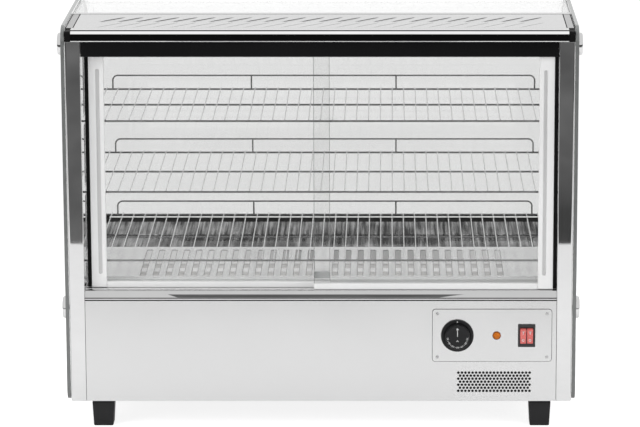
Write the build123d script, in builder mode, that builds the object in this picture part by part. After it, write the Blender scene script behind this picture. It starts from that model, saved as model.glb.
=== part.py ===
from build123d import *

import os
from math import cos, radians, sin, tan

os.makedirs("parts", exist_ok=True)

# Heated display case: two sliding glass doors at the operator's side, curved glass at the customer's side.
# X runs across, Y from the operator's side to the customer's side, Z up from the soles of the feet.
# The origin is the middle of the whole model's footprint. All sizes are in millimetres.

# Overall sizes
width = 856.0  # over the two side glasses
depth = 568.0  # from the front plane to the foot of the side glasses' back edge
height = 686.0  # from the floor to the top edge of the side glasses
foot_height = 48.0
sheet = 1.2  # stainless steel sheet
gap = 0.3  # between pieces that meet without a fit

# Side glasses and the curved glass between them
side_glass_thick = 6.0
side_glass_corner = 22.0
side_glass_top_corner = 25.0
glass_bend = 215.0  # radius of the big curve at the top of the customer's side
back_lean = 3.3  # degrees by which the customer's side leans out towards its foot
curved_glass_thick = 5.0
curved_glass_inset = 6.0  # from the edge of the side glasses
curved_glass_foot = 239.0  # Z of its lower edge

# Round caps that hold the side glasses
cap_diameter = 38.0
cap_stand = 7.0
cap_round = 3.2
cap_setback = 30.0
cap_stud = 8.0
cap_stud_length = 16.0
upper_cap_drop = 33.0  # from the top edge of the glass
lower_cap_z = 204.0
back_cap_setback = 70.0

# Front corner posts
post_width = 26.2
post_depth = 42.0
post_wall = 1.5
post_outer_round = 4.0
post_inner_round = 1.8

# Front sill with the lower door tracks
sill_top = 240.0
sill_bottom = 223.5
sill_depth = 78.0
sill_nose = 8.0
sill_nose_round = 7.0
track_block_height = 7.0
track_block_depth = 38.0
groove_width = 4.4
groove_depth = 5.0

# Base
panel_inset = 1.0
panel_return = 14.0
panel_joint = 1.8  # between the panel and the sill
ledge_width = 36.0  # inward flange on which the deck lies
back_flange = 28.0

# Deck inside the case
deck_rise = 5.0  # above the sill
deck_depth = 228.0
slot_side_margin = 86.6
slot_middle_margin = 17.4
slot_pitch = 21.7
slot_width = 9.0
slot_length = 195.0
slot_end_cut = 2.6
slot_margin = 9.0  # from the deck's front edge
corner_plate_width = 76.0
corner_plate_depth = 76.0
corner_plate_thick = 1.0
back_deck_step_at = 94.0
back_deck_step = 2.0
seat_height = 8.5
seat_wall = 2.0
seat_band = 30.0  # from the back deck to the glass

# Top of the case
cover_drop = 5.0  # from the top edge of the glass
cover_depth = 141.5
cover_return = 8.0
cover_joint = 0.6
nose_depth = 24.0
nose_round = 12.0
nose_wall = 1.6
nose_height = 19.7
nose_cap_width = 10.4
nose_plug = 9.0
header_height = 25.0
header_thick = 3.0
header_inset = 1.0
rail_height = 26.0
rail_width = 13.1
rail_wall = 1.5
channel_depth = 14.0
channel_lip = 1.2

# Louvres in the top cover
louvre_side_margin = 37.0  # from the cover's edge to the end of the first louvre
louvre_pitch = 30.5
louvre_length = 62.0
louvre_slot = 3.0
louvre_angle = 50.0
louvre_rows = 2
louvre_row_pitch = 56.0
louvre_row_centre = 29.5  # of the first row, behind the cover's front edge
hood_width = 8.0
hood_height = 2.4
hood_land = 0.2

# Interior lamp
lamp_diameter = 12.0
lamp_length = 420.0
lamp_setback = 100.0
lamp_drop = 9.0
lamp_holder_size = 14.0
lamp_end_cut = 1.5

# Sliding doors
pane_thick = 5.0
pane_foot = 243.0
pane_engagement = 12.0  # of a pane in the upper track
front_track = 12.5  # from the front plane to the middle of the front pane
track_pitch = 14.0
door_past_middle = 11.3
left_door_open = 4.0
bumper_width = 6.5
bumper_thick = 10.0
bumper_round = 1.1
handle_width = 25.0
handle_thick = 12.0
handle_round = 1.0
handle_foot = 241.0
handle_clearance = 3.0  # under the upper track
handle_bite = 22.0  # depth of the slot that takes the pane's edge
finger_groove_width = 6.0
finger_groove_depth = 2.0
finger_groove_foot = 23.0  # from the handle's lower end
finger_groove_head = 25.0  # from its upper end
runner_thick = 8.0
runner_top = 250.0
runner_tongue = 3.6
runner_tongue_width = 3.0
spacer_thick = 3.7
spacer_width = 26.0
spacer_height = 11.5
spacer_z = 263.0
spacer_round = 1.0

# Upper door track
track_top_web = 2.7
track_height = 20.7
track_slack = 0.4  # on each side of a pane
track_lip = 4.6

# Wire shelves, from the top down
shelf_rises = (274.0, 153.0, 35.0)  # above the deck
shelf_depths = (298.0, 336.0, 360.0)
shelf_names = ("top", "middle", "bottom")
shelf_setback = 50.0
shelf_over_bracket = 2.0  # by which the cross wires pass the brackets
rod_size = 2.0
rod_pitch = 20.0
cross_wire = 3.4
rail_margin = 34.0  # from the ends of the cross wires
rail_rise = 22.5
rail_wire = 2.8
rail_bend = 9.0
rail_post_share = 0.343  # of the rail's half length, out from the middle

# Shelf brackets and uprights
bracket_thick = 2.0
bracket_height = 14.0
bracket_inset = 4.5  # behind the post's inner face
bracket_past = 8.0  # past the shelf's back wire
bracket_hook = 5.0
bracket_hook_height = 9.0
upright_setback = 145.0
upright_depth = 12.0
upright_width = 11.7

# Control plate and what it carries
plate_width = 200.0
plate_height = 90.0
plate_thick = 1.5
plate_round = 5.0
plate_rim = 12.0
plate_margin = 8.2  # from the plate's edge to the post
plate_z = 162.3
dial_from_plate = -58.4  # from the plate's middle, as are the next two
lamp_from_plate = 7.7
switch_from_plate = 58.0
bezel_diameter = 55.0
bezel_thick = 4.0
bezel_bevel = 1.2
bezel_play = 1.3  # around the shaft
dial_diameter = 42.0
dial_height = 13.5
dial_edge = 1.2
dial_taper = 1.5  # degrees
shaft_diameter = 6.0
shaft_length = 22.0
thermostat_width = 44.0
thermostat_height = 36.0
thermostat_depth = 26.0
thermostat_round = 3.0
collar_diameter = 11.0
indicator_diameter = 14.3
indicator_dome = 2.6
indicator_rim = 1.4
indicator_barrel = 10.0
indicator_length = 24.0
switch_width = 29.0
switch_height = 39.0
switch_flange = 2.5
switch_body_inset = 1.0
switch_depth = 24.0
rocker_width = 10.2
rocker_half_height = 12.7
rocker_proud = 7.0
rocker_valley = 1.6
rocker_tail = 4.0
rocker_tail_half = 6.0
rocker_tilt = 9.0  # degrees from level to either side
rocker_pivot = 5.5  # behind the front of the switch frame
switch_divider = 0.6
switch_opening_half = 14.0
switch_cavity = 18.0

# Ventilation holes under the control plate
vent_diameter = 4.2
vent_pitch = 6.0
vent_row_pitch = 5.27
vent_columns = 21
vent_rows = 7
vent_from_plate = 3.7
vent_z = 81.6

# Heating elements under the deck
tube_diameter = 8.0
tube_drop = 31.0  # under the deck's top
hairpin_pitch = 60.0
hairpin_start = 110.0  # from the front plane to the first run
hairpin_side_margin = 75.0  # from the bend to the pan's end
hairpin_tail = 25.0
pan_setback = 68.0
pan_depth = 240.0
pan_drop = 49.0  # under the deck's top
pan_wall = 24.0
holder_count = 3
holder_side_margin = 45.0  # from the bend of the hairpins
holder_thick = 1.5
holder_height = 24.0
holder_margin = 14.0
sensor_diameter = 6.0
sensor_length = 80.0
sensor_drop = 13.0  # under the deck's top
capillary = 1.6
capillary_bend = 12.0
capillary_run = 18.0

# Mains connection
gland_side_margin = 91.7  # from the base's wall
gland_from_back = 98.0
gland_bore = 8.0
gland_barrel = 16.0
gland_flange = 24.0
gland_flange_thick = 4.0
gland_length = 18.0
block_length = 60.0
block_depth = 22.0
block_height = 18.0
block_from_gland = 80.0
terminal_pitch = 10.0
terminal_count = 5
terminal_diameter = 5.0
terminal_depth = 6.0

# Feet
foot_top = 38.0
foot_sole = 33.0
foot_inset = 52.7  # from the base's wall
foot_setback = 35.0
foot_from_back = 63.0
foot_edge = 1.5

# Places worked out from the sizes
dial_reach = plate_thick + bezel_thick + gap + dial_height - panel_inset
corner_loss = side_glass_corner * (tan(radians(back_lean)) + 1 / cos(radians(back_lean)) - 1)
front = (dial_reach - depth + corner_loss) / 2  # Y of the front plane
glass_inner = width / 2 - side_glass_thick
body_half = glass_inner - gap
post_inner = body_half - post_width
opening_half = post_inner - gap
cover_top = height - cover_drop
post_top = cover_top - nose_height - gap
nose_bottom = post_top + gap
upper_cap_z = height - upper_cap_drop
cover_half = body_half - rail_width - cover_joint
nose_half = body_half - nose_cap_width
ceiling_z = cover_top - rail_height
track_top = post_top
track_lip_foot = track_top - track_height + gap
pane_top = track_lip_foot + pane_engagement
handle_top = track_lip_foot - handle_clearance
door_width = opening_half + door_past_middle
deck_top = sill_top + deck_rise
tube_z = deck_top - tube_drop
pan_z = deck_top - pan_drop
sensor_z = deck_top - sensor_drop
shelf_heights = [deck_top + rise for rise in shelf_rises]
bracket_x = post_inner + bracket_inset
shelf_half = bracket_x + bracket_thick + shelf_over_bracket
rail_half = shelf_half - rail_margin
foot_x = body_half - foot_inset
gland_x = body_half - gland_side_margin
gland_y = front + depth - gland_from_back
block_x = gland_x - block_from_gland
panel_front = front + panel_inset
plate_front = panel_front - plate_thick
bezel_front = plate_front - bezel_thick
plate_x = post_inner - plate_margin - plate_width / 2
dial_x = plate_x + dial_from_plate
lamp_x = plate_x + lamp_from_plate
switch_x = plate_x + switch_from_plate
back_deck_start = front + sill_depth - sheet - gap + deck_depth + gap
deck_front = front + sill_depth - sheet - gap
deck_under = deck_top - sheet
ledge_z = deck_under - gap
shell_front = front + post_depth + gap
cover_front = front + nose_depth + gap
cover_back = cover_front + cover_depth


def back_face(z, inset):
    """Y of the leaning customer's side at height z, moved in square to itself by inset."""
    lean = radians(back_lean)
    return front + depth - (z - foot_height) * tan(lean) - inset / cos(lean)


seat_front = back_face(deck_top, curved_glass_inset + curved_glass_thick) - seat_band
back_deck_end = seat_front - gap


# Side glasses: one outline for both, with the holes for the caps
cap_places = (
    (front + cap_setback, upper_cap_z),
    (front + cap_setback, lower_cap_z),
    (back_face(lower_cap_z, back_cap_setback), lower_cap_z),
)

with BuildPart() as side_glass_right:
    with BuildSketch(Plane.YZ.offset(glass_inner)):
        with BuildLine():
            FilletPolyline(
                (front, foot_height),
                (front + depth, foot_height),
                (back_face(height, 0), height),
                (front, height),
                radius=[side_glass_corner, side_glass_corner, glass_bend, side_glass_top_corner],
                close=True,
            )
        make_face()
        with Locations(*cap_places):
            Circle(cap_stud / 2 + gap, mode=Mode.SUBTRACT)
    extrude(amount=side_glass_thick)
side_glass_right.part.label = "side_glass_right"
export_step(side_glass_right.part, "parts/side_glass_right.step")

with BuildPart() as side_glass_left:
    mirror(side_glass_right.part, about=Plane.YZ)
side_glass_left.part.label = "side_glass_left"
export_step(side_glass_left.part, "parts/side_glass_left.step")

# Caps: a rounded disc outside the glass and a stud through it into the body
with BuildPart() as cap:
    Cylinder(cap_diameter / 2, cap_stand, align=(Align.CENTER, Align.CENTER, Align.MIN))
    fillet(cap.edges().sort_by(Axis.Z)[-1], cap_round)
    with Locations((0, 0, 0)):
        Cylinder(cap_stud / 2, cap_stud_length, align=(Align.CENTER, Align.CENTER, Align.MAX))

with BuildPart() as glass_caps:
    for side in (-1, 1):
        for y, z in cap_places:
            with Locations(Location((side * width / 2, y, z), (0, side * 90, 0))):
                add(cap.part)
glass_caps.part.label = "glass_caps"
export_step(glass_caps.part, "parts/glass_caps.step")

# Corner posts: polished square tube, rounded at the front
with BuildPart() as corner_post_right:
    with BuildSketch(Plane.XY.offset(foot_height)) as post_section:
        with Locations((post_inner + post_width / 2, front + post_depth / 2)):
            Rectangle(post_width, post_depth)
        front_corners = post_section.vertices().group_by(Axis.Y)[0].sort_by(Axis.X)
        fillet(front_corners[0], post_inner_round)
        fillet(post_section.vertices().group_by(Axis.Y)[0].sort_by(Axis.X)[-1], post_outer_round)
        offset(amount=-post_wall, kind=Kind.INTERSECTION, mode=Mode.SUBTRACT)
    extrude(amount=post_top - foot_height)
    with BuildSketch(Plane.YZ.offset(body_half)):
        with Locations(*cap_places[:2]):
            Circle(cap_stud / 2 + gap)
    extrude(amount=-2 * post_wall, mode=Mode.SUBTRACT)
    with BuildSketch(Plane.XZ.offset(-front - post_depth)):
        for shelf_height in shelf_heights:
            hook_z = shelf_height - cross_wire / 2 - gap - bracket_height / 2
            with Locations((bracket_x + bracket_thick / 2, hook_z)):
                Rectangle(bracket_thick + 2 * gap, bracket_hook_height + 2 * gap)
    extrude(amount=2 * post_wall, mode=Mode.SUBTRACT)
corner_post_right.part.label = "corner_post_right"
export_step(corner_post_right.part, "parts/corner_post_right.step")

with BuildPart() as corner_post_left:
    mirror(corner_post_right.part, about=Plane.YZ)
corner_post_left.part.label = "corner_post_left"
export_step(corner_post_left.part, "parts/corner_post_left.step")

# Base sides: walls with the ledges that carry the deck, cut off along the leaning back
back_plane = Plane(
    origin=(0, front + depth, foot_height),
    x_dir=(-1, 0, 0),
    z_dir=(0, cos(radians(back_lean)), sin(radians(back_lean))),
)
panel_inner_plane = back_plane.offset(-curved_glass_inset - sheet - gap)

with BuildPart() as base_sides:
    with BuildSketch(Plane.XZ.offset(-shell_front)):
        for side in (-1, 1):
            with Locations((side * (body_half - sheet / 2), (foot_height + ledge_z) / 2)):
                Rectangle(sheet, ledge_z - foot_height)
            with Locations((side * (body_half - ledge_width / 2), ledge_z - sheet / 2)):
                Rectangle(ledge_width, sheet)
    extrude(amount=-depth)
    split(bisect_by=panel_inner_plane, keep=Keep.BOTTOM)
    with BuildSketch(Plane.XY.offset(ledge_z - 2 * sheet)):
        with Locations((0, seat_front - gap)):
            Rectangle(2 * (body_half - sheet), depth, align=(Align.CENTER, Align.MIN))
    extrude(amount=4 * sheet, mode=Mode.SUBTRACT)
    with BuildSketch(Plane.YZ.offset(-body_half)):
        with Locations(cap_places[2]):
            Circle(cap_stud / 2 + gap)
    extrude(amount=2 * body_half, mode=Mode.SUBTRACT)
base_sides.part.label = "base_sides"
export_step(base_sides.part, "parts/base_sides.step")

# Base floor: sheet between the walls, narrower between the posts, with the hole for the cord gland
floor_front = panel_front + sheet + gap

with BuildPart() as base_floor:
    with BuildSketch(Plane.XY.offset(foot_height)):
        with Locations((0, shell_front)):
            Rectangle(2 * (body_half - sheet - gap), depth, align=(Align.CENTER, Align.MIN))
        with Locations((0, floor_front)):
            Rectangle(2 * opening_half, shell_front - floor_front, align=(Align.CENTER, Align.MIN))
        with Locations((gland_x, gland_y)):
            Circle(gland_barrel / 2 + gap, mode=Mode.SUBTRACT)
    extrude(amount=sheet)
    split(bisect_by=panel_inner_plane, keep=Keep.BOTTOM)
base_floor.part.label = "base_floor"
export_step(base_floor.part, "parts/base_floor.step")

# Front panel of the base: a shallow tray with the opening behind the control plate and the vent
panel_top = sill_bottom - panel_joint
panel_foot = foot_height + sheet + gap
panel_middle = (panel_foot + panel_top) / 2
vent_x = plate_x + vent_from_plate
even_rows = (vent_rows + 1) // 2

with BuildPart() as base_front_panel:
    with BuildSketch(Plane.XZ.offset(-panel_front)):
        with Locations((0, (foot_height + panel_top) / 2)):
            Rectangle(2 * opening_half, panel_top - foot_height)
        with Locations((plate_x, plate_z)):
            Rectangle(plate_width - 2 * plate_rim, plate_height - 2 * plate_rim, mode=Mode.SUBTRACT)
        with Locations((vent_x, vent_z)):
            with GridLocations(vent_pitch, 2 * vent_row_pitch, vent_columns, even_rows):
                RegularPolygon(vent_diameter / 2, 6, mode=Mode.SUBTRACT)
            with GridLocations(vent_pitch, 2 * vent_row_pitch, vent_columns - 1, vent_rows - even_rows):
                RegularPolygon(vent_diameter / 2, 6, mode=Mode.SUBTRACT)
    extrude(amount=-sheet)
    with BuildSketch(Plane.XZ.offset(-panel_front)):
        with Locations((0, panel_middle)):
            Rectangle(2 * opening_half, panel_top - panel_foot)
            Rectangle(2 * (opening_half - sheet), panel_top - panel_foot - 2 * sheet, mode=Mode.SUBTRACT)
    extrude(amount=-panel_return)
base_front_panel.part.label = "base_front_panel"
export_step(base_front_panel.part, "parts/base_front_panel.step")

# Customer's side panel: leaning sheet with a flange under the seat of the curved glass
seat_top = deck_top
seat_foot = seat_top - seat_height
panel_rim = seat_foot - gap

with BuildPart() as customer_panel:
    with BuildSketch(Plane.YZ):
        with BuildLine():
            Polyline(
                (back_face(foot_height, curved_glass_inset), foot_height),
                (back_face(panel_rim, curved_glass_inset), panel_rim),
                (back_face(panel_rim, curved_glass_inset) - back_flange, panel_rim),
                (back_face(panel_rim, curved_glass_inset) - back_flange, panel_rim - sheet),
                (back_face(panel_rim - sheet, curved_glass_inset + sheet), panel_rim - sheet),
                (back_face(foot_height, curved_glass_inset + sheet), foot_height),
                close=True,
            )
        make_face()
    extrude(amount=body_half - sheet - gap, both=True)
customer_panel.part.label = "customer_panel"
export_step(customer_panel.part, "parts/customer_panel.step")

# Front sill: rounded nose, two grooves for the doors and a thin apron up to the deck
with BuildPart() as front_sill:
    with BuildSketch(Plane.YZ):
        with BuildLine():
            FilletPolyline(
                (front, sill_bottom),
                (front, sill_top),
                (front + sill_depth, sill_top),
                (front + sill_depth, sill_top - sheet),
                (front + track_block_depth, sill_top - sheet),
                (front + track_block_depth, sill_top - track_block_height),
                (front + sill_nose, sill_top - track_block_height),
                (front + sill_nose, sill_bottom),
                radius=[sill_nose_round / 2, sill_nose_round, 0, 0, 0, 0, 0, 0],
                close=True,
            )
        make_face()
        for track in (front_track, front_track + track_pitch):
            with Locations((front + track, sill_top)):
                Rectangle(
                    groove_width, groove_depth, align=(Align.CENTER, Align.MAX), mode=Mode.SUBTRACT
                )
    extrude(amount=opening_half, both=True)
front_sill.part.label = "front_sill"
export_step(front_sill.part, "parts/front_sill.step")

# Deck: sheet with two groups of long slots and a front flange that stands on the sill
slot_front = deck_front + slot_margin
slot_room = opening_half - slot_side_margin - slot_middle_margin - slot_width
slot_count = int(slot_room / slot_pitch) + 1
slot_group_x = slot_middle_margin + (slot_room + slot_width) / 2

with BuildPart() as deck_plate:
    with BuildSketch(Plane.XY.offset(deck_under)) as deck_outline:
        with Locations((0, deck_front + deck_depth / 2)):
            Rectangle(2 * opening_half, deck_depth)
    extrude(amount=sheet)
    with BuildSketch(Plane.XY.offset(sill_top + gap)):
        with Locations((0, deck_front)):
            Rectangle(2 * (body_half - ledge_width - gap), sheet, align=(Align.CENTER, Align.MIN))
    extrude(amount=deck_under - sill_top - gap)
    with BuildSketch(Plane.XY.offset(deck_under)) as slots:
        for group in (-1, 1):
            with Locations((group * slot_group_x, slot_front + slot_length / 2)):
                with GridLocations(slot_pitch, 0, slot_count, 1):
                    Rectangle(slot_width, slot_length)
        chamfer(slots.vertices(), slot_end_cut)
    extrude(amount=sheet, mode=Mode.SUBTRACT)
deck_plate.part.label = "deck_plate"
export_step(deck_plate.part, "parts/deck_plate.step")

with BuildPart() as deck_corners:
    with BuildSketch(Plane.XY.offset(deck_top)) as corner_outline:
        corner_plate_x = opening_half - corner_plate_width / 2
        with Locations((0, deck_front + corner_plate_depth / 2)):
            with GridLocations(2 * corner_plate_x, 0, 2, 1):
                Rectangle(corner_plate_width, corner_plate_depth)
        fillet(corner_outline.vertices().group_by(Axis.Y)[-1], slot_width / 2)
    extrude(amount=corner_plate_thick)
deck_corners.part.label = "deck_corners"
export_step(deck_corners.part, "parts/deck_corners.step")

# Back deck: polished sheet with one raised step
step_y = back_deck_start + back_deck_step_at

with BuildPart() as back_deck:
    with BuildSketch(Plane.YZ):
        with BuildLine():
            Polyline(
                (back_deck_start, deck_under),
                (back_deck_start, deck_top),
                (step_y, deck_top),
                (step_y + back_deck_step, deck_top + back_deck_step),
                (back_deck_end, deck_top + back_deck_step),
                (back_deck_end, deck_top + back_deck_step - sheet),
                (step_y + back_deck_step + sheet / 2, deck_top + back_deck_step - sheet),
                (step_y + sheet / 2, deck_under),
                close=True,
            )
        make_face()
    extrude(amount=opening_half, both=True)
back_deck.part.label = "back_deck"
export_step(back_deck.part, "parts/back_deck.step")

# Seat of the curved glass: black extrusion with a groove for its lower edge
glass_front_y = back_face(curved_glass_foot, curved_glass_inset + curved_glass_thick)
glass_back_y = back_face(curved_glass_foot, curved_glass_inset)
groove_lean = (seat_top + seat_wall - curved_glass_foot) * tan(radians(back_lean))

with BuildPart() as glass_seat:
    with BuildSketch(Plane.YZ):
        with BuildLine():
            Polyline(
                (seat_front, seat_foot),
                (seat_front, seat_top),
                (glass_front_y - groove_lean - gap, seat_top),
                (glass_front_y - groove_lean - gap, curved_glass_foot - gap),
                (glass_back_y + gap, curved_glass_foot - gap),
                (glass_back_y + gap, seat_top + seat_wall),
                (glass_back_y + gap + seat_wall, seat_top + seat_wall),
                (glass_back_y + gap + seat_wall, seat_foot),
                close=True,
            )
        make_face()
    extrude(amount=body_half - sheet - gap, both=True)
glass_seat.part.label = "glass_seat"
export_step(glass_seat.part, "parts/glass_seat.step")

# Curved glass: level at the top, one big bend, then down the leaning customer's side
outer_inset = curved_glass_inset
inner_inset = curved_glass_inset + curved_glass_thick
curved_glass_start = cover_back + gap + channel_lip + gap

with BuildPart() as curved_glass:
    with BuildSketch(Plane.YZ):
        with BuildLine():
            outer_line = FilletPolyline(
                (curved_glass_start, height - outer_inset),
                (back_face(height - outer_inset, outer_inset), height - outer_inset),
                (back_face(curved_glass_foot, outer_inset), curved_glass_foot),
                radius=glass_bend - outer_inset,
            )
            inner_line = FilletPolyline(
                (curved_glass_start, height - inner_inset),
                (back_face(height - inner_inset, inner_inset), height - inner_inset),
                (back_face(curved_glass_foot, inner_inset), curved_glass_foot),
                radius=glass_bend - inner_inset,
            )
            Line(outer_line @ 0, inner_line @ 0)
            Line(outer_line @ 1, inner_line @ 1)
        make_face()
    extrude(amount=body_half, both=True)
    with BuildSketch(Plane.XY.offset(curved_glass_foot)):
        for side in (-1, 1):
            with Locations((side * body_half, 0)):
                Rectangle(2 * (sheet + gap), depth + dial_reach)
    extrude(amount=ledge_z + gap - curved_glass_foot, mode=Mode.SUBTRACT)
curved_glass.part.label = "curved_glass"
export_step(curved_glass.part, "parts/curved_glass.step")

# Channel along the back of the top cover, which holds the curved glass's upper edge
channel_top = height - outer_inset + gap + channel_lip
channel_foot = height - inner_inset - gap - channel_lip
channel_y = cover_back + gap

with BuildPart() as glass_channel:
    with BuildSketch(Plane.YZ):
        with Locations((channel_y, (channel_top + channel_foot) / 2)):
            Rectangle(channel_depth, channel_top - channel_foot, align=(Align.MIN, Align.CENTER))
        with Locations((channel_y + channel_lip, (channel_top + channel_foot) / 2)):
            Rectangle(
                channel_depth,
                channel_top - channel_foot - 2 * channel_lip,
                align=(Align.MIN, Align.CENTER),
                mode=Mode.SUBTRACT,
            )
    extrude(amount=body_half, both=True)
glass_channel.part.label = "glass_channel"
export_step(glass_channel.part, "parts/glass_channel.step")

# Top nose: hollow polished moulding along the front edge
with BuildPart() as top_nose:
    with BuildSketch(Plane.YZ) as nose_section:
        with BuildLine():
            FilletPolyline(
                (front, nose_bottom),
                (front + nose_depth, nose_bottom),
                (front + nose_depth, cover_top),
                (front, cover_top),
                radius=[nose_wall, 0, 0, nose_round],
                close=True,
            )
        make_face()
        offset(amount=-nose_wall, kind=Kind.INTERSECTION, mode=Mode.SUBTRACT)
    extrude(amount=nose_half, both=True)
top_nose.part.label = "top_nose"
export_step(top_nose.part, "parts/top_nose.step")

# End caps of the nose, each with a plug inside it
with BuildPart() as nose_caps:
    for side in (-1, 1):
        with BuildSketch(Plane.YZ.offset(side * (nose_half + gap))):
            with BuildLine():
                FilletPolyline(
                    (front, nose_bottom),
                    (front + nose_depth, nose_bottom),
                    (front + nose_depth, cover_top + gap),
                    (front, cover_top + gap),
                    radius=[nose_wall, 0, 0, nose_round],
                    close=True,
                )
            make_face()
        extrude(amount=side * (body_half - nose_half - gap))
        with BuildSketch(Plane.YZ.offset(side * (nose_half + gap))):
            with Locations((front + nose_depth / 2 + nose_wall, (nose_bottom + cover_top) / 2 - nose_wall)):
                Rectangle(nose_depth / 2, (cover_top - nose_bottom) / 2)
        extrude(amount=-side * nose_plug)
nose_caps.part.label = "nose_caps"
export_step(nose_caps.part, "parts/nose_caps.step")

# Black header strip above the doors
with BuildPart() as header_panel:
    with BuildSketch(Plane.XZ.offset(-front - header_inset)):
        with Locations((0, nose_bottom - gap)):
            Rectangle(2 * opening_half, header_height, align=(Align.CENTER, Align.MAX))
    extrude(amount=-header_thick)
header_panel.part.label = "header_panel"
export_step(header_panel.part, "parts/header_panel.step")

# Upper track: two slots that open downwards, one for each pane
pane_room = pane_thick + 2 * track_slack
track_front = front + front_track - pane_room / 2 - track_lip
track_back = front + front_track + track_pitch + pane_room / 2 + track_lip

with BuildPart() as upper_track:
    with BuildSketch(Plane.YZ):
        with Locations((track_front, track_lip_foot)):
            Rectangle(
                track_back - track_front, track_top - track_lip_foot, align=(Align.MIN, Align.MIN)
            )
        for track in (front_track, front_track + track_pitch):
            with Locations((front + track, track_lip_foot)):
                Rectangle(
                    pane_room,
                    track_top - track_top_web - track_lip_foot,
                    align=(Align.CENTER, Align.MIN),
                    mode=Mode.SUBTRACT,
                )
    extrude(amount=opening_half, both=True)
upper_track.part.label = "upper_track"
export_step(upper_track.part, "parts/upper_track.step")

# Side rails of the top: square tubes beside the louvred cover
rail_inner = cover_half + cover_joint

with BuildPart() as top_rails:
    with BuildSketch(Plane.XZ.offset(-cover_front)):
        for side in (-1, 1):
            with Locations((side * (rail_inner + body_half) / 2, cover_top - rail_height / 2)):
                Rectangle(body_half - rail_inner, rail_height)
                Rectangle(
                    body_half - rail_inner - 2 * rail_wall,
                    rail_height - 2 * rail_wall,
                    mode=Mode.SUBTRACT,
                )
    extrude(amount=-cover_depth)
    with BuildSketch(Plane.XZ.offset(-cover_front)):
        with Locations((0, nose_bottom)):
            Rectangle(width, rail_height, align=(Align.CENTER, Align.MAX))
    extrude(amount=-(shell_front - cover_front), mode=Mode.SUBTRACT)
top_rails.part.label = "top_rails"
export_step(top_rails.part, "parts/top_rails.step")

# Top cover: sheet with rows of slanted louvres, each a slot under a pressed hood
louvre_run = louvre_length * cos(radians(louvre_angle))
louvre_count = int((2 * (cover_half - louvre_side_margin) - louvre_run) / louvre_pitch) + 1

with BuildPart() as hood:
    with BuildSketch(Plane.YZ):
        with BuildLine():
            Polyline(
                (louvre_slot / 2 + hood_land, -sheet / 2),
                (louvre_slot / 2 + hood_land, hood_height),
                (louvre_slot / 2 + hood_land + hood_width, 0),
                (louvre_slot / 2 + hood_land + hood_width, -sheet / 2),
                close=True,
            )
        make_face()
    extrude(amount=louvre_length / 2 - louvre_slot, both=True)

with BuildPart() as top_cover:
    with BuildSketch(Plane.XY.offset(cover_top - sheet)):
        with Locations((0, (cover_front + cover_back) / 2)):
            Rectangle(2 * cover_half, cover_depth)
        with Locations((0, cover_front + louvre_row_centre + louvre_row_pitch / 2)):
            with GridLocations(louvre_pitch, louvre_row_pitch, louvre_count, louvre_rows):
                Rectangle(louvre_length, louvre_slot, rotation=louvre_angle, mode=Mode.SUBTRACT)
    extrude(amount=sheet)
    with Locations((0, cover_front + louvre_row_centre + louvre_row_pitch / 2, cover_top)):
        with GridLocations(louvre_pitch, louvre_row_pitch, louvre_count, louvre_rows):
            add(hood.part, rotation=(0, 0, louvre_angle))
    with BuildSketch(Plane.XY.offset(cover_top - sheet)):
        for side in (-1, 1):
            with Locations((side * (cover_half - sheet / 2), (cover_front + cover_back) / 2)):
                Rectangle(sheet, cover_depth)
    extrude(amount=-cover_return)
top_cover.part.label = "top_cover"
export_step(top_cover.part, "parts/top_cover.step")

# Ceiling of the warm space, closed at the back up to the cover
ceiling_back = cover_back - sheet - gap

with BuildPart() as ceiling_panel:
    with BuildSketch(Plane.YZ):
        with BuildLine():
            Polyline(
                (shell_front, ceiling_z),
                (ceiling_back + sheet, ceiling_z),
                (ceiling_back + sheet, cover_top - sheet - gap),
                (ceiling_back, cover_top - sheet - gap),
                (ceiling_back, ceiling_z + sheet),
                (shell_front, ceiling_z + sheet),
                close=True,
            )
        make_face()
    extrude(amount=cover_half - sheet - gap, both=True)
    with BuildSketch(Plane.XY.offset(ceiling_z)):
        with Locations((0, (track_back + gap + shell_front) / 2)):
            Rectangle(2 * opening_half, shell_front - track_back - gap)
    extrude(amount=sheet)
ceiling_panel.part.label = "ceiling_panel"
export_step(ceiling_panel.part, "parts/ceiling_panel.step")

# Interior lamp: glass tube between two ceramic holders under the ceiling
lamp_y = front + lamp_setback
lamp_z = ceiling_z - gap - lamp_drop

with BuildPart() as lamp_tube:
    with BuildSketch(Plane.YZ):
        with Locations((lamp_y, lamp_z)):
            Circle(lamp_diameter / 2)
    extrude(amount=lamp_length / 2, both=True)
    chamfer(lamp_tube.edges().filter_by(GeomType.CIRCLE), lamp_end_cut)
lamp_tube.part.label = "lamp_tube"
export_step(lamp_tube.part, "parts/lamp_tube.step")

lamp_holder_drop = lamp_drop + lamp_holder_size / 2

with BuildPart() as lamp_holders:
    for side in (-1, 1):
        with BuildSketch(Plane.YZ.offset(side * (lamp_length / 2 + gap))):
            with Locations((lamp_y, ceiling_z - gap)):
                Rectangle(lamp_holder_size, lamp_holder_drop, align=(Align.CENTER, Align.MAX))
        extrude(amount=side * lamp_holder_size)
lamp_holders.part.label = "lamp_holders"
export_step(lamp_holders.part, "parts/lamp_holders.step")

# Uprights: channels from the deck ledge to the top rails, which carry the brackets
upright_foot = ledge_z + gap
upright_top = cover_top - rail_height - gap
upright_inner = bracket_x + bracket_thick + gap
upright_outer = max(upright_inner + upright_width, rail_inner + upright_width / 2)

upright_x = (upright_inner + upright_outer) / 2
upright_y = front + upright_setback + upright_depth / 2

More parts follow.
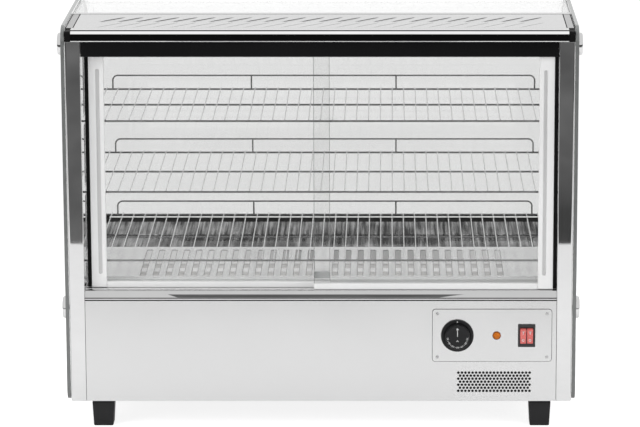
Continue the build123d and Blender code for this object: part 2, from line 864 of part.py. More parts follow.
with BuildPart() as shelf_uprights:
    for side in (-1, 1):
        with BuildSketch(Plane.XY.offset(upright_foot)):
            with Locations((side * upright_x, upright_y)):
                Rectangle(upright_outer - upright_inner, upright_depth)
            with Locations((side * (upright_x + sheet), upright_y)):
                Rectangle(
                    upright_outer - upright_inner, upright_depth - 2 * sheet, mode=Mode.SUBTRACT
                )
        extrude(amount=upright_top - upright_foot)
shelf_uprights.part.label = "shelf_uprights"
export_step(shelf_uprights.part, "parts/shelf_uprights.step")

# Wire shelves with their raised back rails, and the brackets under their ends
rod_centre = cross_wire / 2 + rod_size / 2
rod_count = 2 * int((shelf_half - rod_size) / rod_pitch) + 1
rail_post_x = rail_half * rail_post_share

for name, shelf_z, shelf_depth in zip(shelf_names, shelf_heights, shelf_depths):
    shelf_front = front + shelf_setback
    shelf_back = shelf_front + shelf_depth

    with BuildPart() as shelf:
        with BuildSketch(Plane.YZ):
            for y in (shelf_front, shelf_front + shelf_depth / 2, shelf_back):
                with Locations((y, shelf_z)):
                    Rectangle(cross_wire, cross_wire)
        extrude(amount=shelf_half, both=True)
        with BuildSketch(Plane.XZ.offset(-shelf_front + cross_wire / 2)):
            with Locations((0, shelf_z + rod_centre)):
                with GridLocations(rod_pitch, 0, rod_count, 1):
                    Rectangle(rod_size, rod_size)
        extrude(amount=-shelf_depth - cross_wire)
        rail_foot = shelf_z + cross_wire / 2
        rail_y = shelf_back + rail_wire / 2
        with BuildLine(Plane.XZ.offset(-rail_y)) as rail_path:
            FilletPolyline(
                (-rail_half, rail_foot),
                (-rail_half, rail_foot + rail_rise),
                (rail_half, rail_foot + rail_rise),
                (rail_half, rail_foot),
                radius=rail_bend,
            )
        with BuildSketch(Plane(origin=rail_path.line @ 0, x_dir=(1, 0, 0), z_dir=(0, 0, 1))):
            RegularPolygon(rail_wire / 2, 6)
        sweep(path=rail_path.line)
        with BuildSketch(Plane.XY.offset(rail_foot)):
            with Locations((-rail_post_x, rail_y), (rail_post_x, rail_y)):
                RegularPolygon(rail_wire / 2, 6)
        extrude(amount=rail_rise)
    shelf.part.label = f"{name}_shelf"
    export_step(shelf.part, f"parts/{name}_shelf.step")

    with BuildPart() as brackets:
        bracket_top = shelf_z - cross_wire / 2 - gap
        bracket_front = front + post_depth + gap
        for side in (-1, 1):
            with BuildSketch(Plane.YZ.offset(side * bracket_x)):
                with BuildLine():
                    Polyline(
                        (bracket_front, bracket_top),
                        (shelf_back + bracket_past, bracket_top),
                        (shelf_back + bracket_past, bracket_top - bracket_height / 2),
                        (front + upright_setback + upright_depth, bracket_top - bracket_height),
                        (bracket_front, bracket_top - bracket_height),
                        close=True,
                    )
                make_face()
                with Locations((bracket_front, bracket_top - bracket_height / 2)):
                    Rectangle(bracket_hook, bracket_hook_height, align=(Align.MAX, Align.CENTER))
            extrude(amount=side * bracket_thick)
    brackets.part.label = f"{name}_brackets"
    export_step(brackets.part, f"parts/{name}_brackets.step")

# Sliding doors: pane, handle profile, rubber bumper and bottom runner
left_outer = -opening_half + left_door_open
right_outer = opening_half

for name, side, outer, track in (
    ("left", -1, left_outer, front_track + track_pitch),
    ("right", 1, right_outer, front_track),
):
    track_y = front + track
    handle_outer = outer - side * bumper_width
    handle_inner = handle_outer - side * handle_width
    pane_outer = handle_inner + side * (handle_bite - gap)
    pane_inner = outer - side * door_width

    with BuildPart() as pane:
        with BuildSketch(Plane.XZ.offset(-track_y)):
            with Locations(((pane_outer + pane_inner) / 2, (pane_top + pane_foot) / 2)):
                Rectangle(abs(pane_outer - pane_inner), pane_top - pane_foot)
        extrude(amount=pane_thick / 2, both=True)
    pane.part.label = f"{name}_door_glass"
    export_step(pane.part, f"parts/{name}_door_glass.step")

    with BuildPart() as handle:
        with BuildSketch(Plane.XY.offset(handle_foot)) as handle_section:
            with Locations(((handle_outer + handle_inner) / 2, track_y)):
                Rectangle(handle_width, handle_thick)
            fillet(handle_section.vertices(), handle_round)
            with Locations((handle_inner, track_y)):
                Rectangle(2 * handle_bite, pane_thick + 2 * gap, mode=Mode.SUBTRACT)
        extrude(amount=handle_top - handle_foot)
        with BuildSketch(Plane.XZ.offset(-track_y + handle_thick / 2)):
            with Locations(((handle_outer + handle_inner) / 2, handle_foot + finger_groove_foot)):
                Rectangle(
                    finger_groove_width,
                    handle_top - handle_foot - finger_groove_foot - finger_groove_head,
                    align=(Align.CENTER, Align.MIN),
                )
        extrude(amount=-finger_groove_depth, mode=Mode.SUBTRACT)
    handle.part.label = f"{name}_door_handle"
    export_step(handle.part, f"parts/{name}_door_handle.step")

    with BuildPart() as bumper:
        with BuildSketch(Plane.XY.offset(handle_foot)) as bumper_section:
            with Locations((outer - side * bumper_width / 2, track_y)):
                Rectangle(bumper_width, bumper_thick)
            fillet(bumper_section.vertices(), bumper_round)
        extrude(amount=handle_top - handle_foot)
    bumper.part.label = f"{name}_door_bumper"
    export_step(bumper.part, f"parts/{name}_door_bumper.step")

    with BuildPart() as runner:
        runner_foot = sill_top + gap
        runner_outer = handle_inner - side * gap
        with BuildSketch(Plane.YZ.offset(runner_outer)):
            with Locations((track_y, runner_foot)):
                Rectangle(runner_thick, runner_top - runner_foot, align=(Align.CENTER, Align.MIN))
                Rectangle(runner_tongue_width, runner_tongue, align=(Align.CENTER, Align.MAX))
            with Locations((track_y, pane_foot - gap)):
                Rectangle(
                    pane_thick + 2 * gap,
                    runner_top - pane_foot + 2 * gap,
                    align=(Align.CENTER, Align.MIN),
                    mode=Mode.SUBTRACT,
                )
        extrude(amount=pane_inner - runner_outer)
    runner.part.label = f"{name}_door_runner"
    export_step(runner.part, f"parts/{name}_door_runner.step")

# Spacer pad on the back of the front pane, which keeps the two panes apart
spacer_x = right_outer - door_width + spacer_width / 2
spacer_y = front + front_track + pane_thick / 2

with BuildPart() as door_spacer:
    with BuildSketch(Plane.XZ.offset(-spacer_y)) as spacer_outline:
        with Locations((spacer_x, spacer_z)):
            Rectangle(spacer_width, spacer_height)
        fillet(spacer_outline.vertices(), spacer_round)
    extrude(amount=-spacer_thick)
door_spacer.part.label = "door_spacer"
export_step(door_spacer.part, "parts/door_spacer.step")

# Control plate with the holes for the thermostat, the lamp, the switch and its corner screws
collar_hole = collar_diameter / 2 + gap
indicator_hole = indicator_barrel / 2 + gap
switch_body_width = switch_width - 2 * switch_body_inset
switch_body_height = switch_height - 2 * switch_body_inset

with BuildPart() as control_plate:
    with BuildSketch(Plane.XZ.offset(-panel_front)):
        with Locations((plate_x, plate_z)):
            RectangleRounded(plate_width, plate_height, plate_round)
        with Locations((dial_x, plate_z)):
            Circle(collar_hole, mode=Mode.SUBTRACT)
        with Locations((lamp_x, plate_z)):
            Circle(indicator_hole, mode=Mode.SUBTRACT)
        with Locations((switch_x, plate_z)):
            Rectangle(
                switch_body_width + 2 * gap, switch_body_height + 2 * gap, mode=Mode.SUBTRACT
            )
    extrude(amount=plate_thick)
control_plate.part.label = "control_plate"
export_step(control_plate.part, "parts/control_plate.step")

# Thermostat: body behind the plate with a collar, fixed ring in front, dial on the shaft
with BuildPart() as thermostat_body:
    with BuildSketch(Plane.XZ.offset(-panel_front - gap)) as thermostat_outline:
        with Locations((dial_x, plate_z)):
            Rectangle(thermostat_width, thermostat_height)
        fillet(thermostat_outline.vertices(), thermostat_round)
    extrude(amount=-thermostat_depth)
    with BuildSketch(Plane.XZ.offset(-panel_front - gap)):
        with Locations((dial_x, plate_z)):
            Circle(collar_diameter / 2)
    extrude(amount=plate_thick + gap)
    with BuildSketch(Plane.XZ.offset(-plate_front)):
        with Locations((dial_x, plate_z)):
            Circle(shaft_diameter / 2 + gap)
    extrude(amount=-shaft_length, mode=Mode.SUBTRACT)
thermostat_body.part.label = "thermostat_body"
export_step(thermostat_body.part, "parts/thermostat_body.step")

with BuildPart() as thermostat_bezel:
    with BuildSketch(Plane.XZ.offset(-plate_front)):
        with Locations((dial_x, plate_z)):
            Circle(bezel_diameter / 2)
            Circle(shaft_diameter / 2 + bezel_play, mode=Mode.SUBTRACT)
    extrude(amount=bezel_thick)
    rim = thermostat_bezel.edges().filter_by(GeomType.CIRCLE).group_by(SortBy.RADIUS)[-1]
    chamfer(rim.sort_by(Axis.Y)[0], bezel_bevel)
thermostat_bezel.part.label = "thermostat_bezel"
export_step(thermostat_bezel.part, "parts/thermostat_bezel.step")

with BuildPart() as thermostat_dial:
    with BuildSketch(Plane.XZ.offset(-bezel_front + gap)):
        with Locations((dial_x, plate_z)):
            Circle(dial_diameter / 2)
    extrude(amount=dial_height, taper=dial_taper)
    fillet(thermostat_dial.edges().filter_by(GeomType.CIRCLE).sort_by(Axis.Y)[0], dial_edge)
    with BuildSketch(Plane.XZ.offset(-bezel_front + gap)):
        with Locations((dial_x, plate_z)):
            Circle(shaft_diameter / 2)
    extrude(amount=-shaft_length)
thermostat_dial.part.label = "thermostat_dial"
export_step(thermostat_dial.part, "parts/thermostat_dial.step")

# Indicator lamp: rim and domed lens in front of the plate, barrel through it
with BuildPart() as indicator_lamp:
    with BuildSketch(Plane.XZ.offset(-plate_front)):
        with Locations((lamp_x, plate_z)):
            Circle(indicator_diameter / 2)
    extrude(amount=indicator_rim + indicator_dome)
    fillet(indicator_lamp.edges().filter_by(GeomType.CIRCLE).sort_by(Axis.Y)[0], indicator_dome)
    with BuildSketch(Plane.XZ.offset(-plate_front)):
        with Locations((lamp_x, plate_z)):
            Circle(indicator_barrel / 2)
    extrude(amount=-indicator_length)
indicator_lamp.part.label = "indicator_lamp"
export_step(indicator_lamp.part, "parts/indicator_lamp.step")

# Double switch: frame and body with one cavity, two rockers side by side in it
switch_opening = 2 * rocker_width + switch_divider + 4 * gap
switch_front = plate_front - switch_flange

with BuildPart() as switch_frame:
    with BuildSketch(Plane.XZ.offset(-plate_front)):
        with Locations((switch_x, plate_z)):
            Rectangle(switch_width, switch_height)
    extrude(amount=switch_flange)
    chamfer(switch_frame.faces().sort_by(Axis.Y)[0].edges(), switch_flange / 4)
    with BuildSketch(Plane.XZ.offset(-plate_front)):
        with Locations((switch_x, plate_z)):
            Rectangle(switch_body_width, switch_body_height)
    extrude(amount=-switch_depth)
    with BuildSketch(Plane.XZ.offset(-switch_front)):
        with Locations((switch_x, plate_z)):
            Rectangle(switch_opening, 2 * switch_opening_half)
            Rectangle(switch_divider, 2 * switch_opening_half, mode=Mode.SUBTRACT)
    extrude(amount=-switch_cavity, mode=Mode.SUBTRACT)
switch_frame.part.label = "switch_frame"
export_step(switch_frame.part, "parts/switch_frame.step")

pivot_y = switch_front + rocker_pivot

for name, side in (("left", -1), ("right", 1)):
    rocker_x = switch_x + side * (switch_divider / 2 + gap + rocker_width / 2)

    with BuildPart() as rocker:
        with BuildSketch(Plane.YZ.offset(rocker_x)):
            with BuildLine():
                Polyline(
                    (pivot_y - rocker_proud, plate_z + rocker_half_height),
                    (pivot_y - rocker_proud + rocker_valley, plate_z),
                    (pivot_y - rocker_proud, plate_z - rocker_half_height),
                    (pivot_y, plate_z - rocker_half_height),
                    (pivot_y + rocker_tail, plate_z - rocker_tail_half),
                    (pivot_y + rocker_tail, plate_z + rocker_tail_half),
                    (pivot_y, plate_z + rocker_half_height),
                    close=True,
                )
            make_face()
        extrude(amount=rocker_width / 2, both=True)
    rocker_pressed = rocker.part.rotate(Axis((0, pivot_y, plate_z), (1, 0, 0)), rocker_tilt)
    rocker_pressed.label = f"rocker_{name}"
    export_step(rocker_pressed, f"parts/rocker_{name}.step")

# Reflector pan under the heating elements, hung between the walls of the base
pan_front = front + pan_setback
pan_half = body_half - sheet - gap

with BuildPart() as reflector_pan:
    with BuildSketch(Plane.YZ):
        with BuildLine():
            Polyline(
                (pan_front, pan_z + pan_wall),
                (pan_front, pan_z),
                (pan_front + pan_depth, pan_z),
                (pan_front + pan_depth, pan_z + pan_wall),
                (pan_front + pan_depth - sheet, pan_z + pan_wall),
                (pan_front + pan_depth - sheet, pan_z + sheet),
                (pan_front + sheet, pan_z + sheet),
                (pan_front + sheet, pan_z + pan_wall),
                close=True,
            )
        make_face()
    extrude(amount=pan_half, both=True)
reflector_pan.part.label = "reflector_pan"
export_step(reflector_pan.part, "parts/reflector_pan.step")

# Heating elements: two tube hairpins that lie across under the slots
hairpin_half = pan_half - hairpin_side_margin
hairpin_end = hairpin_half + hairpin_tail

with BuildPart() as heating_elements:
    for start in (hairpin_start, hairpin_start + 2 * hairpin_pitch):
        run_y = front + start
        with BuildLine(Plane.XY.offset(tube_z)) as hairpin:
            first_run = Line((hairpin_end, run_y), (hairpin_pitch / 2 - hairpin_half, run_y))
            turn = JernArc(
                start=first_run @ 1, tangent=first_run % 1, radius=hairpin_pitch / 2, arc_size=-180
            )
            Line(turn @ 1, (hairpin_end, run_y + hairpin_pitch))
        with BuildSketch(Plane(origin=hairpin.line @ 0, x_dir=(0, 1, 0), z_dir=hairpin.line % 0)):
            Circle(tube_diameter / 2)
        sweep(path=hairpin.line)
heating_elements.part.label = "heating_elements"
export_step(heating_elements.part, "parts/heating_elements.step")

# Element holders: upright strips on the pan, pierced for the four tube runs
holder_foot = pan_z + sheet + gap
holder_pitch = 2 * (hairpin_half - holder_side_margin) / (holder_count - 1)
holder_front = front + hairpin_start - holder_margin
holder_length = 3 * hairpin_pitch + 2 * holder_margin

with BuildPart() as element_holders:
    for holder_x in ((i - (holder_count - 1) / 2) * holder_pitch for i in range(holder_count)):
        with BuildSketch(Plane.YZ.offset(holder_x)):
            with Locations((holder_front, holder_foot)):
                Rectangle(holder_length, holder_height, align=(Align.MIN, Align.MIN))
            for run in range(4):
                with Locations((front + hairpin_start + run * hairpin_pitch, tube_z)):
                    Circle(tube_diameter / 2 + gap, mode=Mode.SUBTRACT)
        extrude(amount=holder_thick)
element_holders.part.label = "element_holders"
export_step(element_holders.part, "parts/element_holders.step")

# Sensor bulb under the deck and its capillary from the thermostat
body_back = panel_front + gap + thermostat_depth
sensor_y = pan_front + capillary_run
riser_y = (body_back + pan_front) / 2

with BuildPart() as sensor_bulb:
    with BuildLine() as capillary_path:
        FilletPolyline(
            (dial_x, body_back + gap, plate_z),
            (dial_x, riser_y, plate_z),
            (dial_x, riser_y, sensor_z),
            (dial_x, sensor_y, sensor_z),
            (dial_x - 2 * capillary_run, sensor_y, sensor_z),
            radius=capillary_bend,
        )
    with BuildSketch(Plane(origin=capillary_path.line @ 0, z_dir=capillary_path.line % 0)):
        RegularPolygon(capillary / 2, 6)
    sweep(path=capillary_path.line)
    with BuildSketch(Plane.YZ.offset(dial_x - 2 * capillary_run)):
        with Locations((sensor_y, sensor_z)):
            Circle(sensor_diameter / 2)
    extrude(amount=-sensor_length)
sensor_bulb.part.label = "sensor_bulb"
export_step(sensor_bulb.part, "parts/sensor_bulb.step")

# Cord gland through the floor, and the terminal block beside it
with BuildPart() as cord_gland:
    with Locations((gland_x, gland_y, foot_height - gap)):
        Cylinder(gland_flange / 2, gland_flange_thick, align=(Align.CENTER, Align.CENTER, Align.MAX))
        Cylinder(gland_barrel / 2, gland_length, align=(Align.CENTER, Align.CENTER, Align.MIN))
    with Locations((gland_x, gland_y, foot_height - gap - gland_flange_thick)):
        Cylinder(
            gland_bore / 2,
            gland_length + gland_flange_thick,
            align=(Align.CENTER, Align.CENTER, Align.MIN),
            mode=Mode.SUBTRACT,
        )
cord_gland.part.label = "cord_gland"
export_step(cord_gland.part, "parts/cord_gland.step")

with BuildPart() as terminal_block:
    with BuildSketch(Plane.XY.offset(foot_height + sheet + gap)):
        with Locations((block_x, gland_y)):
            Rectangle(block_length, block_depth)
    extrude(amount=block_height)
    with BuildSketch(Plane.XY.offset(foot_height + sheet + gap + block_height)):
        with Locations((block_x, gland_y)):
            with GridLocations(terminal_pitch, 0, terminal_count, 1):
                RegularPolygon(terminal_diameter / 2, 6)
    extrude(amount=-terminal_depth, mode=Mode.SUBTRACT)
terminal_block.part.label = "terminal_block"
export_step(terminal_block.part, "parts/terminal_block.step")

# Feet: square blocks that taper to the sole
for row, foot_y in (("front", front + foot_setback), ("back", front + depth - foot_from_back)):
    for side_name, side in (("left", -1), ("right", 1)):
        with BuildPart() as foot:
            with BuildSketch(Plane.XY) as sole:
                with Locations((side * foot_x, foot_y)):
                    Rectangle(foot_sole, foot_sole)
            with BuildSketch(Plane.XY.offset(foot_height - gap)) as head:
                with Locations((side * foot_x, foot_y)):
                    Rectangle(foot_top, foot_top)
            loft()
            chamfer(foot.faces().sort_by(Axis.Z)[0].edges(), foot_edge)
        foot.part.label = f"foot_{row}_{side_name}"
        export_step(foot.part, f"parts/foot_{row}_{side_name}.step")
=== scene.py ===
from math import cos, pi, radians, sin, tan

import bmesh
import bpy
import numpy as np
from bpy.props import FloatProperty, FloatVectorProperty, IntProperty, PointerProperty
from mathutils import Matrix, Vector, geometry


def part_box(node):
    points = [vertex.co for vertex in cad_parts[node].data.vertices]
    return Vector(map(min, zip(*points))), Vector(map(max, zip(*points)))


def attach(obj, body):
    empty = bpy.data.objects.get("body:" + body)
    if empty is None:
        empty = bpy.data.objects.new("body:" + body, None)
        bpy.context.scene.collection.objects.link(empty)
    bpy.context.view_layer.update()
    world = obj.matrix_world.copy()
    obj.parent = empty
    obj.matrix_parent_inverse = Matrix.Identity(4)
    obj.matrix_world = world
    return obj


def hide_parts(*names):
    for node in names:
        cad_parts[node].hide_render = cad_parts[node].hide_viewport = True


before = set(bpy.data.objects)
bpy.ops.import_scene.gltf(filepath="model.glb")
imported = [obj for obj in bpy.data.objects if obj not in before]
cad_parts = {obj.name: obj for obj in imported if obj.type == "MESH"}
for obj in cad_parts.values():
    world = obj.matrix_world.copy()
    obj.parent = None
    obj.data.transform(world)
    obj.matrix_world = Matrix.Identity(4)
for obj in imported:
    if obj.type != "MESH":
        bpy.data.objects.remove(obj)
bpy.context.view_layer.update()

bl_info = {
    "name": "Heated display case",
    "version": (1, 0, 0),
    "blender": (4, 5, 0),
    "location": "View3D > Sidebar > Display case",
    "description": "Dresses a countertop heated display case with sliding doors and a curved customer's side",
    "category": "Object",
}

# The case's measurements, in metres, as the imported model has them. X runs across, Y from the operator's
# side to the customer's side, Z up from the soles of the feet.
mm = 0.001


def low(node):
    return np.array(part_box(node)[0])


def high(node):
    return np.array(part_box(node)[1])


def middle(node):
    return (low(node) + high(node)) / 2


front = low("side_glass_right")[1]
glass_foot = low("side_glass_right")[2]
glass_top = high("side_glass_right")[2]
glass_inner = low("side_glass_right")[0]
glass_outer = high("side_glass_right")[0]
case_depth = 568 * mm
back_lean = radians(3.3)
gap = 0.3 * mm
sheet = 1.2 * mm
body_half = high("corner_post_right")[0]
opening_half = high("front_sill")[0]
deck_top = high("deck_plate")[2]
seat_lip = 16 * mm


def back_face(z, inset):
    """Y of the leaning customer's side at height z: it falls back by the height over the foot times the
    lean's tangent, and an inset square to it is divided by the lean's cosine."""
    return front + case_depth - (z - glass_foot) * tan(back_lean) - inset / cos(back_lean)


# Outlines

def rounded(corners, radii, steps=6):
    """Outline with rounded corners. Each arc's centre lies on its corner's bisector, radius over the sine of
    the half angle away, and its points turn in equal steps from one tangent point to the other."""
    corner = np.asarray(corners, float)
    radius = np.broadcast_to(np.asarray(radii, float), len(corner))
    back = np.roll(corner, 1, 0) - corner
    ahead = np.roll(corner, -1, 0) - corner
    back = back / np.linalg.norm(back, axis=1)[:, None]
    ahead = ahead / np.linalg.norm(ahead, axis=1)[:, None]
    half = np.arccos(np.clip((back * ahead).sum(1), -0.999999, 0.999999)) / 2
    bisector = back + ahead
    bisector = bisector / np.maximum(np.linalg.norm(bisector, axis=1), 1e-9)[:, None]
    centre = corner + bisector * (radius / np.sin(half))[:, None]
    start = corner + back * (radius / np.tan(half))[:, None] - centre
    end = corner + ahead * (radius / np.tan(half))[:, None] - centre
    side = np.sign(start[:, 0] * end[:, 1] - start[:, 1] * end[:, 0])
    turn = np.linspace(0, 1, steps + 1)[None, :] * ((pi - 2 * half) * side)[:, None]
    x = start[:, :1] * np.cos(turn) - start[:, 1:] * np.sin(turn)
    y = start[:, :1] * np.sin(turn) + start[:, 1:] * np.cos(turn)
    points = centre[:, None, :] + np.stack([x, y], -1)
    keep = (radius[:, None] > 0) | (np.arange(steps + 1)[None, :] == 0)
    return points[keep]


def rectangle(low_corner, high_corner, radius=0.0, steps=4):
    """Four corners, counterclockwise, rounded by radius."""
    (x0, y0), (x1, y1) = low_corner, high_corner
    return rounded([(x0, y0), (x1, y0), (x1, y1), (x0, y1)], radius, steps)


def circle(centre, radius, sides):
    """Points at equal turns round a centre."""
    turn = np.arange(sides) * 2 * pi / sides
    return np.asarray(centre) + radius * np.stack([np.cos(turn), np.sin(turn)], -1)


def signed_area(outline):
    ahead = np.roll(outline, -1, 0)
    return (outline[:, 0] * ahead[:, 1] - outline[:, 1] * ahead[:, 0]).sum() / 2


def ordered(outline):
    """The outline counterclockwise."""
    return outline if signed_area(outline) > 0 else outline[::-1]


def mitres(outline):
    """Outward direction at each point: the sum of its two sides' normals over one plus their product."""
    side = np.roll(outline, -1, 0) - outline
    normal = np.stack([side[:, 1], -side[:, 0]], -1)
    normal = normal / np.maximum(np.linalg.norm(normal, axis=1), 1e-12)[:, None]
    before = np.roll(normal, 1, 0)
    return (normal + before) / np.maximum(1 + (normal * before).sum(1), 0.3)[:, None]


def drawn_in(outline, insets):
    """The outline once for each inset, with every side moved inwards by it."""
    return outline[None] - insets[:, None, None] * mitres(outline)[None]


# Surfaces: each gives (points, faces, kinds), where a face's kind picks its finish

def grid_faces(rows, columns, wrap_rows=False, wrap_columns=False):
    """Four-cornered faces between the neighbours of a grid of points, numbered row by row."""
    row, column = np.meshgrid(
        np.arange(rows if wrap_rows else rows - 1),
        np.arange(columns if wrap_columns else columns - 1),
        indexing="ij",
    )
    row_on, column_on = (row + 1) % rows, (column + 1) % columns
    corners = [
        row * columns + column, row * columns + column_on,
        row_on * columns + column_on, row_on * columns + column,
    ]
    return np.stack(corners, -1).reshape(-1, 4)


def closed_stack(rows, count):
    """Faces of rings of points stacked in rows: the walls between them, then the two ends."""
    walls = grid_faces(rows, count, wrap_columns=True).tolist()
    ring = np.arange(count)
    return walls, [ring[::-1].tolist(), (ring + (rows - 1) * count).tolist()]


def placed(flat, along, axis):
    """Flat (u, v) points set at a distance along X, Y or Z: u and v are the two other axes, in order."""
    along = np.broadcast_to(along, flat.shape[:-1])
    parts = [flat[..., 0], flat[..., 1]]
    parts.insert("XYZ".index(axis), along)
    return np.stack(parts, -1)


def end_rounding(ends, soften, steps=2):
    """Stations of a straight run with quarter-round ends, and how far the outline is drawn in at each. At
    angle a, a station lies soften (1 - cos a) inside its end, with the outline in by soften (1 - sin a)."""
    angle = np.linspace(0, pi / 2, steps + 1) if soften > 0 else np.array([pi / 2])
    inset = soften * (1 - np.sin(angle))
    inside = soften * (1 - np.cos(angle))
    first, last = sorted(ends)
    return np.concatenate([first + inside, last - inside[::-1]]), np.concatenate([inset, inset[::-1]])


def carried(outline, ends, axis, soften, steps=2):
    """Solid of an outline carried straight along an axis, with quarter-round ends. Kind 0 is the wall, kind 1
    the two ends."""
    outline = ordered(outline)
    along, inset = end_rounding(ends, soften, steps)
    points = placed(drawn_in(outline, inset), along[:, None], axis)
    walls, end_faces = closed_stack(len(along), len(outline))
    return points.reshape(-1, 3), walls + end_faces, [0] * len(walls) + [1, 1]


def tubing(outer, inner, ends, axis, soften):
    """Hollow solid between two outlines of equal length, carried straight along an axis: the stations run
    up the outer outline and back down the inner one, so the grid closes on itself both ways."""
    outer, inner = ordered(outer), ordered(inner)
    along, inset = end_rounding(ends, soften)
    rings = np.concatenate([drawn_in(outer, inset), np.stack([inner, inner])])
    station = np.concatenate([along, sorted(ends)[::-1]])
    points = placed(rings, station[:, None], axis)
    faces = grid_faces(len(station), len(outer), wrap_rows=True, wrap_columns=True)
    return points.reshape(-1, 3), faces.tolist(), [0] * len(faces)


def pierced(outlines, ends, axis, soften=0.0, bevel=None):
    """Flat plate with holes. The first outline is the edge and the rest are holes: both faces are filled
    between them, and each outline is carried through the plate, drawn into the material by the bevel over
    the depth soften at both faces. Kind 0 is the two faces, kind 1 the walls of the edge, kind 2 those of
    the holes."""
    first, last = sorted(ends)
    edge, *holes = [ordered(outline) for outline in outlines]
    loops = [edge] + [hole[::-1] for hole in holes]
    bevel = soften if bevel is None else bevel
    inset = np.array([bevel, 0.0, 0.0, bevel]) if soften > 0 else np.zeros(2)
    along = np.array([first, first + soften, last - soften, last]) if soften > 0 else np.array([first, last])
    face_loops = [loop - inset[0] * mitres(loop) for loop in loops]
    fill = np.array(geometry.tessellate_polygon([[Vector((*point, 0)) for point in loop.tolist()]
                                                 for loop in face_loops]))
    starts = np.cumsum([0] + [len(loop) for loop in loops])
    rings = np.concatenate([drawn_in(loop, inset) for loop in loops], axis=1)
    total = starts[-1]
    points = placed(rings, along[:, None], axis).reshape(-1, 3)
    faces = fill[:, ::-1].tolist() + (fill + (len(along) - 1) * total).tolist()
    kinds = [0] * len(faces)
    for number, (begin, loop) in enumerate(zip(starts, loops)):
        wall = grid_faces(len(along), len(loop), wrap_columns=True)
        row, column = wall // len(loop), wall % len(loop)
        faces += (row * total + begin + column).tolist()
        kinds += [min(number, 1) + 1] * len(wall)
    return points, faces, kinds


def revolved(profile, sides, centre, axis, direction=1):
    """Surface of revolution: each (radius, height) of the profile turns round the axis, height counted from
    the centre towards direction. Rings of radius 0 are merged into a pole later."""
    profile = np.asarray(profile, float)
    turn = np.arange(sides) * 2 * pi / sides
    flat = profile[:, None, :1] * np.stack([np.cos(turn), np.sin(turn)], -1)[None]
    points = placed(flat, direction * profile[:, None, 1], axis) + np.asarray(centre)
    faces = grid_faces(len(profile), sides, wrap_columns=True)
    return points.reshape(-1, 3), faces.tolist(), [0] * len(faces)


def wire(path, radius, sides, side_way=(0, 0, 1)):
    """Round wire along a path in one plane. Its ring at each point is radius (side cos a + across sin a),
    with side square to the plane and across square to both. Near each end the radius follows a quarter
    circle, from the angle at which a small flat end is left."""
    path = np.asarray(path, float)
    flat_end = 0.12
    angle = np.linspace(flat_end, pi / 2, 4)
    step_in = path[1] - path[0]
    step_out = path[-1] - path[-2]
    step_in, step_out = step_in / np.linalg.norm(step_in), step_out / np.linalg.norm(step_out)
    cap = radius * (1 - np.cos(angle))[:, None]
    start = path[0] + cap * step_in
    end = path[-1] - cap[::-1] * step_out
    points = np.concatenate([start, path[1:-1], end])
    size = radius * np.concatenate([np.sin(angle), np.ones(len(path) - 2), np.sin(angle[::-1])])
    along = np.gradient(points, axis=0)
    along = along / np.linalg.norm(along, axis=1)[:, None]
    side = np.broadcast_to(np.asarray(side_way, float), along.shape)
    across = np.cross(along, side)
    turn = np.arange(sides) * 2 * pi / sides
    ring = side[:, None] * np.cos(turn)[None, :, None] + across[:, None] * np.sin(turn)[None, :, None]
    surface = points[:, None] + size[:, None, None] * ring
    walls, ends = closed_stack(len(points), sides)
    return surface.reshape(-1, 3), walls + ends, [0] * (len(walls) + 2)


def repeated(surface, offsets):
    """The same surface at several offsets, as one set of points and faces."""
    points, faces, kinds = surface
    many = (points[None] + np.asarray(offsets, float)[:, None]).reshape(-1, 3)
    count = len(points)
    copies = [[[index + number * count for index in face] for face in faces]
              for number in range(len(offsets))]
    return many, sum(copies, []), kinds * len(offsets)


def together(*surfaces):
    """Several surfaces as one set of points and faces."""
    points, faces, kinds, count = [], [], [], 0
    for some_points, some_faces, some_kinds in surfaces:
        points.append(some_points)
        faces += [[index + count for index in face] for face in some_faces]
        kinds += list(some_kinds)
        count += len(some_points)
    return np.concatenate(points), faces, kinds


def mirrored(surface):
    """The same surface on the other side of the middle plane."""
    points, faces, kinds = surface
    return points * np.array([-1, 1, 1]), [face[::-1] for face in faces], kinds


def of_kind(surface, kind):
    points, faces = surface[:2]
    return points, faces, [kind] * len(faces)


def changed_over(surface):
    """The same surface with kind 0 and kind 1 exchanged."""
    points, faces, kinds = surface
    return points, faces, [1 - kind for kind in kinds]


def make_piece(name, surface, finishes, stands_for=(), body="cabinet", sharp=40):
    """Mesh piece in its place: doubles merged, faces turned outwards, and its shading weighted by face area
    so that large faces stay flat beside narrow roundings."""
    points, faces, kinds = surface
    mesh = bpy.data.meshes.new(name)
    mesh.from_pydata(points.tolist(), [], faces)
    mesh.polygons.foreach_set("material_index", np.asarray(kinds, np.int32))
    work = bmesh.new()
    work.from_mesh(mesh)
    bmesh.ops.remove_doubles(work, verts=work.verts, dist=1e-6)
    bmesh.ops.recalc_face_normals(work, faces=work.faces)
    work.to_mesh(mesh)
    work.free()
    for finish in finishes:
        mesh.materials.append(finish)
    mesh.shade_smooth()
    mesh.set_sharp_from_angle(angle=radians(sharp))
    made = bpy.data.objects.new(name, mesh)
    bpy.context.scene.collection.objects.link(made)
    weighted = made.modifiers.new("flat faces", "WEIGHTED_NORMAL")
    weighted.keep_sharp = True
    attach(made, body)
    if stands_for:
        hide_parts(*stands_for)
    return made


# Finishes

def new_finish(name):
    """The material of this name with its empty node tree, or with None where it is made already."""
    made = bpy.data.materials.get(name)
    if made is not None:
        return made, None
    made = bpy.data.materials.new(name)
    made.use_nodes = True
    made.node_tree.nodes.clear()
    return made, made.node_tree


def add_node(tree, kind, inputs=None, **settings):
    """Adds a node. An input given as another node's output is linked, and any other value is set."""
    node = tree.nodes.new(kind)
    for key, value in settings.items():
        setattr(node, key, value)
    for key, value in (inputs or {}).items():
        if isinstance(value, bpy.types.NodeSocket):
            tree.links.new(value, node.inputs[key])
        else:
            node.inputs[key].default_value = value
    return node


